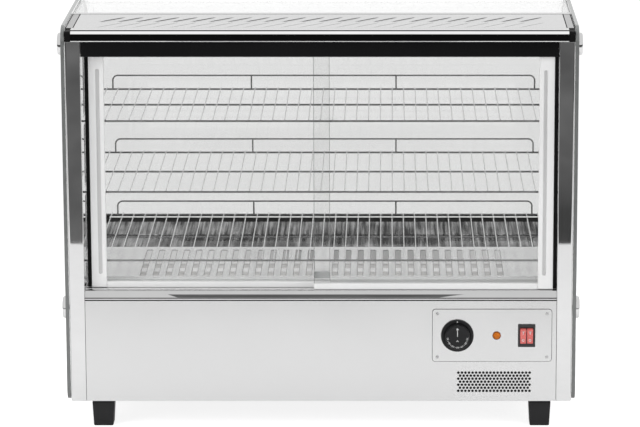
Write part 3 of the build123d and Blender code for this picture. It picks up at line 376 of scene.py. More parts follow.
def grain(tree, scale, stretch=(1, 1, 1), detail=4.0, roughness=0.5):
    """Noise on the object's own coordinates, stretched along an axis where its factor is small."""
    coordinates = add_node(tree, "ShaderNodeTexCoord")
    mapping = add_node(tree, "ShaderNodeMapping", {"Vector": coordinates.outputs["Object"], "Scale": stretch})
    noise = add_node(tree, "ShaderNodeTexNoise", {
        "Vector": mapping.outputs["Vector"], "Scale": scale, "Detail": detail, "Roughness": roughness,
    })
    return noise.outputs["Fac"]


def spread(tree, source, lowest, highest, start=0.3, end=0.7, **settings):
    """Maps the run from start to end, which is a noise's usual one, to a run of values."""
    mapped = add_node(tree, "ShaderNodeMapRange", {
        "Value": source, "From Min": start, "From Max": end, "To Min": lowest, "To Max": highest,
    }, **settings)
    return mapped.outputs["Result"]


def tinted(tree, source, dark, light, start=0.3, end=0.7):
    """Maps the run from start to end, which is a noise's usual one, to a run of colours."""
    ramp = add_node(tree, "ShaderNodeValToRGB", {"Fac": source})
    ramp.color_ramp.elements[0].position = start
    ramp.color_ramp.elements[0].color = (*dark, 1)
    ramp.color_ramp.elements[1].position = end
    ramp.color_ramp.elements[1].color = (*light, 1)
    return ramp.outputs["Color"]


def dented(tree, height, strength, distance, normal=None):
    inputs = {"Height": height, "Strength": strength, "Distance": distance}
    if normal is not None:
        inputs["Normal"] = normal
    return add_node(tree, "ShaderNodeBump", inputs).outputs["Normal"]


def coordinate(tree, axis, space="Object"):
    """One coordinate of the shaded place, along the object's own axis unless another space is named."""
    coordinates = add_node(tree, "ShaderNodeTexCoord")
    apart = add_node(tree, "ShaderNodeSeparateXYZ", {"Vector": coordinates.outputs[space]})
    return apart.outputs[axis]


def computed(tree, operation, *values):
    """Result of one step of arithmetic on values or on other nodes' outputs."""
    return add_node(tree, "ShaderNodeMath", dict(enumerate(values)), operation=operation).outputs[0]


def mixed_shader(tree, share, first, second):
    """The first shader, which gives way to the second by the share."""
    return add_node(tree, "ShaderNodeMixShader", {0: share, 1: first, 2: second}).outputs["Shader"]


def end_with(tree, shader):
    add_node(tree, "ShaderNodeOutputMaterial", {"Surface": shader})


def principled(made, tree, inputs):
    """Ends the tree with one principled shader and gives the material back."""
    end_with(tree, add_node(tree, "ShaderNodeBsdfPrincipled", inputs).outputs["BSDF"])
    return made


def scaled(colour, factor):
    return tuple(min(1.0, channel * factor) for channel in colour[:3])


def grey(level):
    return level, level, level


def polished_steel(name="polished steel", shade=1.0, play=1.0):
    """Mirror-bright stainless steel: faint waviness of the sheet, wiping marks and hairline scratches. Play
    scales the waves and how far the gloss varies."""
    made, tree = new_finish(name)
    if tree is None:
        return made
    colour = scaled(bpy.context.scene.case_colours.steel, shade)
    smears = grain(tree, 9.0, (1, 1, 1.6), 5.0, 0.6)
    hairlines = grain(tree, 60.0, (0.4, 6, 22), 2.0)
    waves = grain(tree, 5.0, (0.7, 1, 1), 1.0)
    rough = spread(tree, smears, 0.012, 0.012 + 0.038 * play)
    wavy = dented(tree, waves, 0.10 * play, 1.2 * mm)
    scratched = dented(tree, hairlines, 0.02, 0.05 * mm, wavy)
    return principled(made, tree, {
        "Base Color": tinted(tree, smears, scaled(colour, 0.97), scaled(colour, 1.03)),
        "Metallic": 1.0, "Roughness": rough, "Normal": scratched,
    })


def satin_steel(name="satin steel", shade=1.0):
    """Cold-rolled stainless sheet: fine grain drawn across, soft cloudy gloss and a slight waviness."""
    made, tree = new_finish(name)
    if tree is None:
        return made
    colour = scaled(bpy.context.scene.case_colours.steel, shade)
    clouds = grain(tree, 5.0, (1, 1, 1.5), 4.0, 0.55)
    brushing = grain(tree, 90.0, (0.25, 8, 14), 3.0)
    waves = grain(tree, 3.5, (0.6, 1, 1), 1.0)
    rough = spread(tree, clouds, 0.19, 0.27)
    wavy = dented(tree, waves, 0.10, 1.5 * mm)
    brushed = dented(tree, brushing, 0.10, 0.05 * mm, wavy)
    return principled(made, tree, {
        "Base Color": tinted(tree, clouds, scaled(colour, 0.97), scaled(colour, 1.02)),
        "Metallic": 1.0, "Roughness": rough, "Normal": brushed,
    })


def streaked_steel_painted_shade():
    """Polished deck sheet that has been wiped front to back: dark and pale streaks run along Y, wiping marks
    whose deep dark is painted reflection; the lower strip in front of the step is darker, as painted shade."""
    made, tree = new_finish("streaked steel painted shade")
    if tree is None:
        return made
    streaks = grain(tree, 190.0, (1, 0.03, 1), 4.0, 0.6)
    patches = grain(tree, 11.0, (1, 0.8, 1), 2.0)
    step_start, step_end = 0.118, 0.128
    # Painted shade: a ramp along Y darkens the strip in front of the step.
    front_strip_shade = spread(tree, coordinate(tree, "Y"), -0.045, 0.0, step_start, step_end)
    streaked = computed(tree, "MULTIPLY_ADD", streaks, 0.7, front_strip_shade)
    mixed = computed(tree, "MULTIPLY_ADD", patches, 0.3, streaked)
    return principled(made, tree, {
        # Base colour down to 0.08 for a metal: painted dark reflection in the streaks.
        "Base Color": tinted(tree, mixed, grey(0.08), grey(0.58), 0.4, 0.62),
        "Specular Tint": tinted(tree, mixed, grey(0.36), grey(0.62), 0.4, 0.62),
        "Metallic": 1.0, "Roughness": spread(tree, streaks, 0.05, 0.16),
        "Normal": dented(tree, streaks, 0.08, 0.1 * mm),
    })


def dull_sheet(name="dull sheet", colour=(0.56, 0.57, 0.58), glow=0.0):
    """Plain coated sheet of the inside: cloudy crystals and a matt face. The glow stands for the light that
    falls on it through the deck's slots and is thrown back."""
    made, tree = new_finish(name)
    if tree is None:
        return made
    crystals = grain(tree, 60.0, (1, 1, 1), 2.0)
    clouds = grain(tree, 8.0)
    return principled(made, tree, {
        "Base Color": tinted(tree, crystals, scaled(colour, 0.9), scaled(colour, 1.1)),
        "Metallic": 0.8, "Roughness": spread(tree, clouds, 0.34, 0.5),
        "Emission Color": tinted(tree, clouds, grey(0.9), grey(1.0)), "Emission Strength": glow,
        "Normal": dented(tree, crystals, 0.08, 0.1 * mm),
    })


# Reflector pan sheet with a glow of 0.22, painted light for the light that falls through the slots.
def reflector_sheet():
    return dull_sheet("reflector sheet", grey(0.84), 0.22)


def baffle_sheet():
    """Bright sheet behind the heaters. It glows least 60 mm to the right of the case's middle, since less of
    the light that falls through the slots comes back from there, and more to both sides."""
    made, tree = new_finish("baffle sheet")
    if tree is None:
        return made
    clouds = grain(tree, 30.0, (1, 1, 0.4), 3.0)
    away = computed(tree, "ABSOLUTE", computed(tree, "ADD", coordinate(tree, "X"), -60 * mm))
    return principled(made, tree, {
        "Base Color": tinted(tree, clouds, grey(0.55), grey(0.7)), "Metallic": 0.8,
        "Roughness": spread(tree, clouds, 0.3, 0.45), "Emission Color": (1, 1, 1, 1),
        "Emission Strength": spread(tree, away, 0.05, 0.30, 0.10, 0.26),
        "Normal": dented(tree, clouds, 0.1, 0.2 * mm),
    })


# Dark sheet, painted shade: it colours the walls of the deck's slots and vent holes and the base floor.
def painted_shade_sheet():
    return dull_sheet("painted shade sheet", (0.16, 0.16, 0.165))


def pane_glass(name="pane glass", loss=0.0):
    """Clear float glass seen as a thin sheet: light passes with a slight grey loss at each face, and the
    share that is mirrored is 0.03 plus 0.97 times the fifth power of the grazing, after Schlick's formula.
    A further loss darkens the upright part of a pane as painted shade and fades out towards its level top."""
    made, tree = new_finish(name)
    if tree is None:
        return made
    colour = bpy.context.scene.case_colours.glass
    wiped = grain(tree, 7.0, (1, 1, 0.5), 5.0, 0.6)
    tint = (*colour[:3], 1)
    # Painted shade: the loss darkens what is seen through the pane below the fade.
    if loss > 0:
        fade_start, fade_end = 0.56, 0.66
        tint = tinted(tree, coordinate(tree, "Z"), scaled(colour, 1 - loss), colour[:3],
                      fade_start, fade_end)
    passing = add_node(tree, "ShaderNodeBsdfTransparent", {"Color": tint})
    mirror = add_node(tree, "ShaderNodeBsdfGlossy", {
        "Color": (1, 1, 1, 1), "Roughness": spread(tree, wiped, 0.0, 0.03),
    })
    facing = add_node(tree, "ShaderNodeLayerWeight", {"Blend": 0.5})
    grazing = computed(tree, "POWER", facing.outputs["Facing"], 5.0)
    share = computed(tree, "MULTIPLY_ADD", grazing, 0.97, 0.03)
    end_with(tree, mixed_shader(tree, share, passing.outputs["BSDF"], mirror.outputs["BSDF"]))
    return made


def glass_edge():
    """Ground and polished edge of a pane: deep grey with a smooth gloss and tiny grinding marks."""
    made, tree = new_finish("glass edge")
    if tree is None:
        return made
    colour = bpy.context.scene.case_colours.glass_edge
    marks = grain(tree, 400.0, (1, 1, 0.2), 2.0)
    return principled(made, tree, {
        "Base Color": tinted(tree, marks, scaled(colour, 0.9), scaled(colour, 1.1)),
        "Roughness": 0.1, "IOR": 1.5, "Normal": dented(tree, marks, 0.1, 0.05 * mm),
    })


def moulded(name, colour, rough, pitch=2500.0, depth=0.03 * mm, gloss=0.5):
    """Moulded plastic or rubber: fine pebbled grain, soft patches of wear and a slight sheen change."""
    made, tree = new_finish(name)
    if tree is None:
        return made
    pebbles = grain(tree, pitch, (1, 1, 1), 2.0)
    patches = grain(tree, 25.0, (1, 1, 1), 4.0)
    return principled(made, tree, {
        "Base Color": tinted(tree, patches, scaled(colour, 0.85), scaled(colour, 1.15)),
        "Roughness": spread(tree, patches, rough * 0.85, min(1.0, rough * 1.15)),
        "IOR": 1.5, "Specular IOR Level": gloss, "Normal": dented(tree, pebbles, 0.25, depth),
    })


def black_gloss():
    """Back-painted black glass strip: deep black under a clear smooth face."""
    made, tree = new_finish("black gloss")
    if tree is None:
        return made
    clouds = grain(tree, 6.0, (0.5, 1, 1), 3.0)
    return principled(made, tree, {
        "Base Color": tinted(tree, clouds, (0.003, 0.003, 0.0035), (0.007, 0.007, 0.008)),
        "Roughness": spread(tree, clouds, 0.06, 0.12), "IOR": 1.5,
        "Normal": dented(tree, clouds, 0.05, 0.5 * mm),
    })


def chromed_wire(name="chromed wire", shade=1.0):
    """Chromed wire: bright, with drawing lines along it and small dull spots."""
    made, tree = new_finish(name)
    if tree is None:
        return made
    colour = scaled(bpy.context.scene.case_colours.wire, shade)
    spots = grain(tree, 180.0, (1, 1, 1), 3.0)
    lines = grain(tree, 900.0, (1, 0.05, 1), 1.0)
    return principled(made, tree, {
        "Base Color": tinted(tree, spots, scaled(colour, 0.93), scaled(colour, 1.04)),
        "Metallic": 1.0, "Roughness": spread(tree, spots, 0.10, 0.22),
        "Normal": dented(tree, lines, 0.05, 0.03 * mm),
    })


def anodised(name="anodised profile", colour=None, glow=0.08):
    """Pale anodised extrusion: silky, with die lines along its length. The glow stands for the light that
    the white studio throws back into its face."""
    made, tree = new_finish(name)
    if tree is None:
        return made
    colour = colour or bpy.context.scene.case_colours.handle
    die_lines = grain(tree, 700.0, (1, 1, 0.01), 2.0)
    clouds = grain(tree, 12.0, (1, 1, 0.5), 4.0)
    return principled(made, tree, {
        "Base Color": tinted(tree, clouds, scaled(colour, 0.97), scaled(colour, 1.02)),
        "Metallic": 0.05, "Roughness": spread(tree, clouds, 0.34, 0.46),
        "Emission Color": (1, 1, 1, 1), "Emission Strength": glow,
        "Normal": dented(tree, die_lines, 0.12, 0.04 * mm),
    })


def lit_plastic(name, colour, glow, shade, gloss=0.5):
    """Translucent coloured plastic with a lamp behind it: the glow varies a little through the body."""
    made, tree = new_finish(name)
    if tree is None:
        return made
    body = grain(tree, 260.0, (1, 1, 1), 2.0)
    return principled(made, tree, {
        "Base Color": tinted(tree, body, scaled(colour, shade), colour[:3]),
        "Roughness": 0.18, "IOR": 1.49, "Specular IOR Level": gloss,
        "Emission Color": tinted(tree, body, scaled(colour, 0.8), colour[:3]),
        "Emission Strength": glow, "Normal": dented(tree, body, 0.06, 0.1 * mm),
    })


def white_print():
    """Pad-printed white marking ink, slightly uneven."""
    made, tree = new_finish("white print")
    if tree is None:
        return made
    ink = grain(tree, 900.0, (1, 1, 1), 3.0)
    return principled(made, tree, {
        "Base Color": tinted(tree, ink, grey(0.66), grey(0.84)), "Roughness": 0.5,
        "Normal": dented(tree, ink, 0.1, 0.02 * mm),
    })


def heater_tube_painted_light():
    """Sheath of a tube heater: oxidised steel with pale straw bands of heat tint, and a glow of 0.2
    that is painted light for what falls on it through the slots.
    """
    made, tree = new_finish("heater tube painted light")
    if tree is None:
        return made
    bands = grain(tree, 14.0, (1, 0.3, 0.3), 3.0)
    scale_marks = grain(tree, 350.0)
    return principled(made, tree, {
        "Base Color": tinted(tree, bands, (0.44, 0.43, 0.42), (0.60, 0.59, 0.58)),
        "Metallic": 0.9, "Roughness": spread(tree, scale_marks, 0.38, 0.55),
        "Emission Color": tinted(tree, bands, (0.95, 0.94, 0.93), (1, 1, 1)), "Emission Strength": 0.2,
        "Normal": dented(tree, scale_marks, 0.15, 0.05 * mm),
    })


def ceramic():
    """White steatite: matt, faintly speckled."""
    made, tree = new_finish("steatite")
    if tree is None:
        return made
    specks = grain(tree, 700.0, (1, 1, 1), 3.0)
    return principled(made, tree, {
        "Base Color": tinted(tree, specks, (0.62, 0.60, 0.55), (0.76, 0.75, 0.71)), "Roughness": 0.55,
        "Normal": dented(tree, specks, 0.15, 0.05 * mm),
    })


def lamp_glass():
    """Frosted lamp tube, faintly clouded towards its ends."""
    made, tree = new_finish("frosted lamp")
    if tree is None:
        return made
    clouds = grain(tree, 30.0, (0.3, 1, 1), 3.0)
    return principled(made, tree, {
        "Base Color": tinted(tree, clouds, (0.82, 0.82, 0.80), (0.92, 0.92, 0.90)), "Roughness": 0.3,
        "Coat Weight": 0.5, "Normal": dented(tree, clouds, 0.05, 0.2 * mm),
    })


# Settings

class CaseSizes(bpy.types.PropertyGroup):
    """Sizes of the details that the dressed case adds to its frame."""

    sheet_edge: FloatProperty(
        name="Sheet edge", description="Rounding of a folded or cut sheet edge", default=0.35 * mm,
        min=0.0, soft_max=1.0 * mm, unit="LENGTH", precision=5)
    glass_edge: FloatProperty(
        name="Glass edge", description="Ground arris along the edge of a pane", default=0.7 * mm,
        min=0.1 * mm, soft_max=2.0 * mm, unit="LENGTH", precision=5)
    wire_sides: IntProperty(
        name="Wire sides", description="Faces round each shelf rod", default=10, min=6, max=24)
    vent_sides: IntProperty(
        name="Vent sides", description="Faces round each ventilation hole", default=14, min=6, max=32)
    cap_round: FloatProperty(
        name="Cap rounding", description="Rounding of the polished caps", default=3.2 * mm,
        min=0.5 * mm, soft_max=3.4 * mm, unit="LENGTH", precision=5)
    hood_rise: FloatProperty(
        name="Louvre rise", description="Height of a pressed louvre over the cover", default=1.0 * mm,
        min=0.5 * mm, max=2.4 * mm, unit="LENGTH", precision=5)
    screw_head: FloatProperty(
        name="Screw head", description="Diameter of the control plate's screws", default=5.6 * mm,
        min=3.0 * mm, max=8.0 * mm, unit="LENGTH", precision=5)
    print_height: FloatProperty(
        name="Dial figures", description="Height of the figures on the dial", default=4.7 * mm,
        min=2.0 * mm, max=5.0 * mm, unit="LENGTH", precision=5)


class CaseColours(bpy.types.PropertyGroup):
    """Colours of the case's finishes."""

    steel: FloatVectorProperty(
        name="Steel", description="Stainless steel sheet and mouldings", subtype="COLOR", size=3,
        default=(0.605, 0.605, 0.606), min=0.0, max=1.0)
    wire: FloatVectorProperty(
        name="Shelf wire", description="Chromed wire of the shelves", subtype="COLOR", size=3,
        default=(0.72, 0.72, 0.722), min=0.0, max=1.0)
    glass: FloatVectorProperty(
        name="Glass", description="Light that passes one face of a pane", subtype="COLOR", size=3,
        default=(0.988, 0.989, 0.988), min=0.0, max=1.0)
    glass_edge: FloatVectorProperty(
        name="Glass edge", description="Polished edge of the panes", subtype="COLOR", size=3,
        default=(0.19, 0.197, 0.194), min=0.0, max=1.0)
    handle: FloatVectorProperty(
        name="Handle", description="Door handles", subtype="COLOR", size=3,
        default=(0.90, 0.90, 0.90), min=0.0, max=1.0)
    plastic: FloatVectorProperty(
        name="Black plastic", description="Feet, dial and switch frame", subtype="COLOR", size=3,
        default=(0.016, 0.016, 0.017), min=0.0, max=1.0)
    rocker: FloatVectorProperty(
        name="Rocker", description="Lit rockers of the switch", subtype="COLOR", size=3,
        default=(0.80, 0.17, 0.155), min=0.0, max=1.0)
    indicator: FloatVectorProperty(
        name="Indicator", description="Lens of the indicator lamp", subtype="COLOR", size=3,
        default=(0.74, 0.19, 0.006), min=0.0, max=1.0)


class StageSettings(bpy.types.PropertyGroup):
    """Camera, floor and light of the picture."""

    lens: FloatProperty(
        name="Lens", description="Focal length for a 36 mm wide picture", default=195.2, min=20.0, max=600.0,
        unit="CAMERA")
    camera_distance: FloatProperty(
        name="Camera distance", description="From the case's front plane", default=5.647, min=1.0, max=20.0,
        unit="LENGTH")
    camera_height: FloatProperty(
        name="Camera height", description="Over the floor", default=1.6135, min=0.0, max=5.0, unit="LENGTH")
    camera_aside: FloatProperty(
        name="Camera aside", description="To the right of the case's middle", default=0.108, min=-2.0,
        max=2.0, unit="LENGTH")
    camera_dip: FloatProperty(
        name="Camera dip", description="Angle below level", default=radians(12.4), min=0.0, max=1.5,
        subtype="ANGLE")
    camera_shift: FloatProperty(
        name="Camera shift", description="Sideways shift of the picture", default=-0.102, min=-0.5, max=0.5,
        subtype="FACTOR")
    floor_reach: FloatProperty(
        name="Floor reach", description="Pale floor in front of the case", default=1.4, min=0.3, max=6.0,
        unit="LENGTH")


def sizes():
    return bpy.context.scene.case_sizes


def colours():
    return bpy.context.scene.case_colours


def black_plastic():
    return moulded("black plastic", colours().plastic, 0.42, gloss=0.25)


def black_rubber():
    return moulded("black rubber", grey(0.005), 0.7, 1800.0, gloss=0.12)


# Pieces

class CASE_OT_side_glasses(bpy.types.Operator):
    """Two side panes with the big curve at the customer's side and ground edges"""

    bl_idname = "display_case.side_glasses"
    bl_label = "Side glasses"

    def execute(self, context):
        outline = rounded(
            [(front, glass_foot), (front + case_depth, glass_foot),
             (back_face(glass_top, 0), glass_top), (front, glass_top)],
            [22 * mm, 22 * mm, 215 * mm, 25 * mm], 32,
        )
        pane = changed_over(carried(outline, (glass_inner, glass_outer), "X", sizes().glass_edge))
        finishes = [pane_glass(), glass_edge()]
        make_piece("side_pane_right", pane, finishes, ["side_glass_right"])
        make_piece("side_pane_left", mirrored(pane), finishes, ["side_glass_left"])
        return {"FINISHED"}


class CASE_OT_curved_glass(bpy.types.Operator):
    """The bent pane: level at the top, one big bend, then down the customer's side into its seat"""

    bl_idname = "display_case.curved_glass"
    bl_label = "Curved glass"

    def execute(self, context):
        start = low("curved_glass")[1]
        foot = low("curved_glass")[2]
        thick, inset, bend = 5 * mm, 6 * mm, 215 * mm
        narrow_z = high("base_sides")[2] + gap
        lines = []
        for depth in (inset, inset + thick):
            top = glass_top - depth
            line = rounded(
                [(start, top), (back_face(top, depth), top), (back_face(foot, depth), foot)],
                [0, bend - depth, 0], 44,
            )
            foot_run = [(back_face(z, depth), z) for z in (narrow_z + 0.2 * mm, narrow_z)]
            lines.append(np.concatenate([line[:-1], foot_run, line[-1:]]))
        outer, inner = lines
        edge = sizes().glass_edge / thick
        across = np.array([-1, 1, 1, 1, 1, -1, -1, -1.0])
        trim = np.array([1, 1, 0, 0, 1, 1, 0, 0]) * sizes().glass_edge
        through = np.array([0, 0, edge, 1 - edge, 1, 1, 1 - edge, edge])
        half = np.where(outer[:, 1] < narrow_z + 0.1 * mm, body_half - sheet - gap, body_half)
        x = across[None] * (half[:, None] - trim[None])
        section = outer[:, None] + (inner - outer)[:, None] * through[None, :, None]
        points = np.concatenate([x[..., None], section], -1).reshape(-1, 3)
        outer_face, inner_face = 0, 4
        walls, ends = closed_stack(len(outer), len(across))
        column = np.arange(len(walls)) % len(across)
        kinds = np.where((column == outer_face) | (column == inner_face), 0, 1).tolist() + [1, 1]
        # The bent pane passes 0.115 less light in its upright part, painted shade.
        make_piece("bent_pane", (points, walls + ends, kinds),
                   [pane_glass("bent glass", 0.115), glass_edge()], ["curved_glass"])
        return {"FINISHED"}


class CASE_OT_glass_caps(bpy.types.Operator):
    """Six polished caps that hold the side panes, each a dished and rounded disc on a stud"""

    bl_idname = "display_case.glass_caps"
    bl_label = "Glass caps"

    def execute(self, context):
        radius, stand, stud, length = 19 * mm, 7 * mm, 4 * mm, 16 * mm
        turn = np.linspace(0, pi / 2, 7)
        bend = sizes().cap_round
        edge = np.stack([radius - bend + bend * np.sin(turn), stand - bend + bend * np.cos(turn)], -1)
        profile = np.concatenate([
            [(0, stand - 0.3 * mm), (radius * 0.45, stand - 0.22 * mm), (radius * 0.7, stand - 0.05 * mm)],
            edge, [(radius, 0.3 * mm), (radius - 0.3 * mm, 0), (stud, 0), (stud, -length + 0.5 * mm),
                   (stud - 0.5 * mm, -length), (0, -length)],
        ])
        cap = revolved(profile, 40, (0, 0, 0), "X")
        near, lower = front + 30 * mm, 204 * mm
        places = [(near, high("glass_caps")[2] - radius), (near, lower), (back_face(lower, 70 * mm), lower)]
        right = repeated(cap, [(glass_outer, y, z) for y, z in places])
        make_piece("cap_discs", together(right, mirrored(right)), [polished_steel()],
                   ["glass_caps"], sharp=50)
        return {"FINISHED"}


class CASE_OT_corner_posts(bpy.types.Operator):
    """Polished square tubes beside the doors, rounded at their front corners"""

    bl_idname = "display_case.corner_posts"
    bl_label = "Corner posts"

    def execute(self, context):
        first, last = low("corner_post_right"), high("corner_post_right")
        wall = 1.5 * mm
        corners = [(first[0], first[1]), (last[0], first[1]), (last[0], last[1]), (first[0], last[1])]
        outer = rounded(corners, [1.8 * mm, 4 * mm, 0.7 * mm, 0.7 * mm], 8)
        inner = rounded(
            [(first[0] + wall, first[1] + wall), (last[0] - wall, first[1] + wall),
             (last[0] - wall, last[1] - wall), (first[0] + wall, last[1] - wall)],
            [0.4 * mm, 2.5 * mm, 0.2 * mm, 0.2 * mm], 8,
        )
        right = tubing(outer, inner, (first[2], last[2]), "Z", sizes().sheet_edge)
        make_piece("post_right", right, [polished_steel()], ["corner_post_right"])
        make_piece("post_left", mirrored(right), [polished_steel()], ["corner_post_left"])
        return {"FINISHED"}


class CASE_OT_front_sill(bpy.types.Operator):
    """Sill with an elliptic nose, the two lower door grooves and a thin apron up to the deck"""

    bl_idname = "display_case.front_sill"
    bl_label = "Front sill"

    def execute(self, context):
        first, last = low("front_sill"), high("front_sill")
        top, foot = last[2], first[2]
        groove, depth = 1.75 * mm, 3.6 * mm
        nose_reach, nose_fall = 10.2 * mm, 15 * mm
        corners, radii = [(front, foot), (front, top)], [1 * mm, 0]
        for track in (12.5 * mm, 26.5 * mm):
            centre = front + track
            corners += [(centre - groove, top), (centre - groove, top - depth),
                        (centre + groove, top - depth), (centre + groove, top)]
            radii += [0.4 * mm, 0.2 * mm, 0.2 * mm, 0.4 * mm]
        block = front + 38 * mm
        corners += [(last[1], top), (last[1], top - sheet), (block, top - sheet), (block, top - 7 * mm),
                    (front + 8 * mm, top - 7 * mm), (front + 8 * mm, foot)]
        radii += [0.3 * mm] * 6
        steps = 10
        outline = rounded(corners, radii, steps)
        turn = np.linspace(0, pi / 2, 17)
        nose = np.stack([front + nose_reach * (1 - np.cos(turn)), top - nose_fall * (1 - np.sin(turn))], -1)
        # The elliptic nose takes the place of the square front corner, one point after the first arc
        outline = ordered(np.concatenate([outline[:steps + 1], nose, outline[steps + 2:]]))
        points, faces = carried(outline, (first[0], last[0]), "X", 0.2 * mm)[:2]
        side_middle = (outline + np.roll(outline, -1, 0)) / 2
        in_groove = (side_middle[:, 1] < top - 0.2 * mm) & (side_middle[:, 1] > top - depth - 0.1 * mm)
        in_groove &= (side_middle[:, 0] > front + nose_reach) & (side_middle[:, 0] < front + 30 * mm)
        stations = (len(faces) - 2) // len(outline)
        kinds = in_groove.astype(int).tolist() * stations + [0, 0]
        # The sill takes polished steel darkened to 0.93, painted shade that dims its reflection.
        make_piece("door_sill", (points, faces, kinds), [polished_steel("sill steel with painted shade", 0.93), anodised()],
                   ["front_sill"])
        section = rectangle((first[1] + 1.2 * mm, foot - 1.6 * mm), (first[1] + 8 * mm, foot - 0.1 * mm),
                            0.2 * mm)
        seam = carried(section, (first[0], last[0]), "X", 0.2 * mm)
        make_piece("sill_seam", of_kind(seam, 0), [black_rubber()])
        return {"FINISHED"}


class CASE_OT_base_panel(bpy.types.Operator):
    """Front panel of the base: a shallow tray with the opening behind the control plate and the round vent"""

    bl_idname = "display_case.base_panel"
    bl_label = "Base front panel"

    def execute(self, context):
        first, last = low("base_front_panel"), high("base_front_panel")
        plate_low, plate_high = low("control_plate"), high("control_plate")
        centre_x, centre_z = middle("control_plate")[0] + 3.7 * mm, 81.6 * mm
        hole_pitch, row_pitch, hole = 6, 5.27, 2.2 * mm
        rim = 12 * mm
        outlines = [rectangle(first[[0, 2]], last[[0, 2]], 1.0 * mm)]
        outlines.append(rectangle(plate_low[[0, 2]] + rim, plate_high[[0, 2]] - rim, 1.0 * mm))
        for row in range(7):
            count = 21 - row % 2
            x = centre_x + (np.arange(count) - (count - 1) / 2) * hole_pitch * mm
            z = centre_z + (row - 3) * row_pitch * mm
            outlines += [circle((place, z), hole, sizes().vent_sides) for place in x]
        points, faces, kinds = pierced(outlines, (first[1], first[1] + sheet), "Y", 0.15 * mm)
        # The vent holes' walls take the dark sheet, painted shade inside the holes.
        in_holes = [kind // 2 for kind in kinds]
        foot = first[2] + sheet + gap
        outer = rectangle((first[0], foot), last[[0, 2]], 1.0 * mm)
        inner = rectangle((first[0] + sheet, foot + sheet), last[[0, 2]] - sheet, 0.5 * mm)
        returns = tubing(outer, inner, (first[1] + sheet, last[1]), "Y", 0.0)
        panel = together((points, faces, in_holes), of_kind(returns, 0))
        make_piece("base_panel", panel, [satin_steel(), painted_shade_sheet()],
                   ["base_front_panel"])
        return {"FINISHED"}


class CASE_OT_decks(bpy.types.Operator):
    """Slotted deck over the heaters, its corner plates and the polished deck behind it"""

    bl_idname = "display_case.decks"
    bl_label = "Decks"

    def execute(self, context):
        first, last = low("deck_plate"), high("deck_plate")
        outlines = [rectangle(first[:2], last[:2], 0.6 * mm)]
        slot_front = first[1] + 9 * mm
        slot_back = slot_front + 195 * mm
        group, half_slot, slots = 163.0 * mm, 4.5 * mm, 14
        for side in (-1, 1):
            for number in range(slots):
                x = side * group + (number - (slots - 1) / 2) * 21.7 * mm
                corners = (x - half_slot, slot_front), (x + half_slot, slot_back)
                outlines.append(rectangle(*corners, 2.6 * mm, 2))
        plate = pierced(outlines, (last[2] - sheet, last[2]), "Z", 0.3 * mm, 0.8 * mm)
        flange_half = body_half - 36 * mm - gap
        flange = carried(rectangle((first[1], first[2]), (first[1] + sheet, last[2] - sheet), 0.2 * mm),
                         (-flange_half, flange_half), "X", 0.2 * mm)
        # Deck and corner plates: satin steel brightened by 1.28, painted light that makes the level sheet
        # paler.
        pale = satin_steel("deck steel with painted light", 1.28)
        # The slots' walls and bevelled rims take the dark sheet, painted shade that draws a dark ring round
        # each slot.
        make_piece("slotted_deck", together(plate, of_kind(flange, 1)), [pale, anodised(), painted_shade_sheet()],
                   ["deck_plate"])
        pan_back, pan_top = high("reflector_pan")[1:]
        upright = rectangle((pan_back - 2 * mm, pan_top + gap), (pan_back - 1 * mm, deck_top - 2 * mm),
                            0.2 * mm)
        baffle = carried(upright, (-opening_half, opening_half), "X", 0.2 * mm)
        make_piece("back_baffle", of_kind(baffle, 0), [baffle_sheet()])
        corner_low, corner_high = low("deck_corners"), high("deck_corners")
        width = 76 * mm
        outline = rounded(
            [(corner_high[0] - width, corner_low[1]), (corner_high[0], corner_low[1]),
             (corner_high[0], corner_high[1]), (corner_high[0] - width, corner_high[1])],
            [0.5 * mm, 0.5 * mm, 4.5 * mm, 4.5 * mm], 8,
        )
        right = carried(outline, (corner_low[2], corner_high[2]), "Z", 0.25 * mm)
        make_piece("corner_plates", together(of_kind(right, 0), of_kind(mirrored(right), 0)), [pale],
                   ["deck_corners"])
        back_low, back_high = low("back_deck"), high("back_deck")
        step_y = back_low[1] + 94 * mm
        rise = 2 * mm
        deck_end = back_high[1] - seat_lip
        section = rounded(
            [(back_low[1], deck_top - sheet), (back_low[1], deck_top), (step_y, deck_top),
             (step_y + 0.4 * mm, deck_top + rise), (deck_end, deck_top + rise),
             (deck_end, deck_top + rise - sheet), (step_y + rise + sheet / 2, deck_top + rise - sheet),
             (step_y + sheet / 2, deck_top - sheet)],
            [0.3 * mm, 0.3 * mm, 0.5 * mm, 0.8 * mm, 0.3 * mm, 0.3 * mm, 0.4 * mm, 0.8 * mm], 5,
        )
        deck = of_kind(carried(section, (back_low[0], back_high[0]), "X", 0.2 * mm), 0)
        make_piece("polished_deck", deck, [streaked_steel_painted_shade()], ["back_deck"])
        return {"FINISHED"}


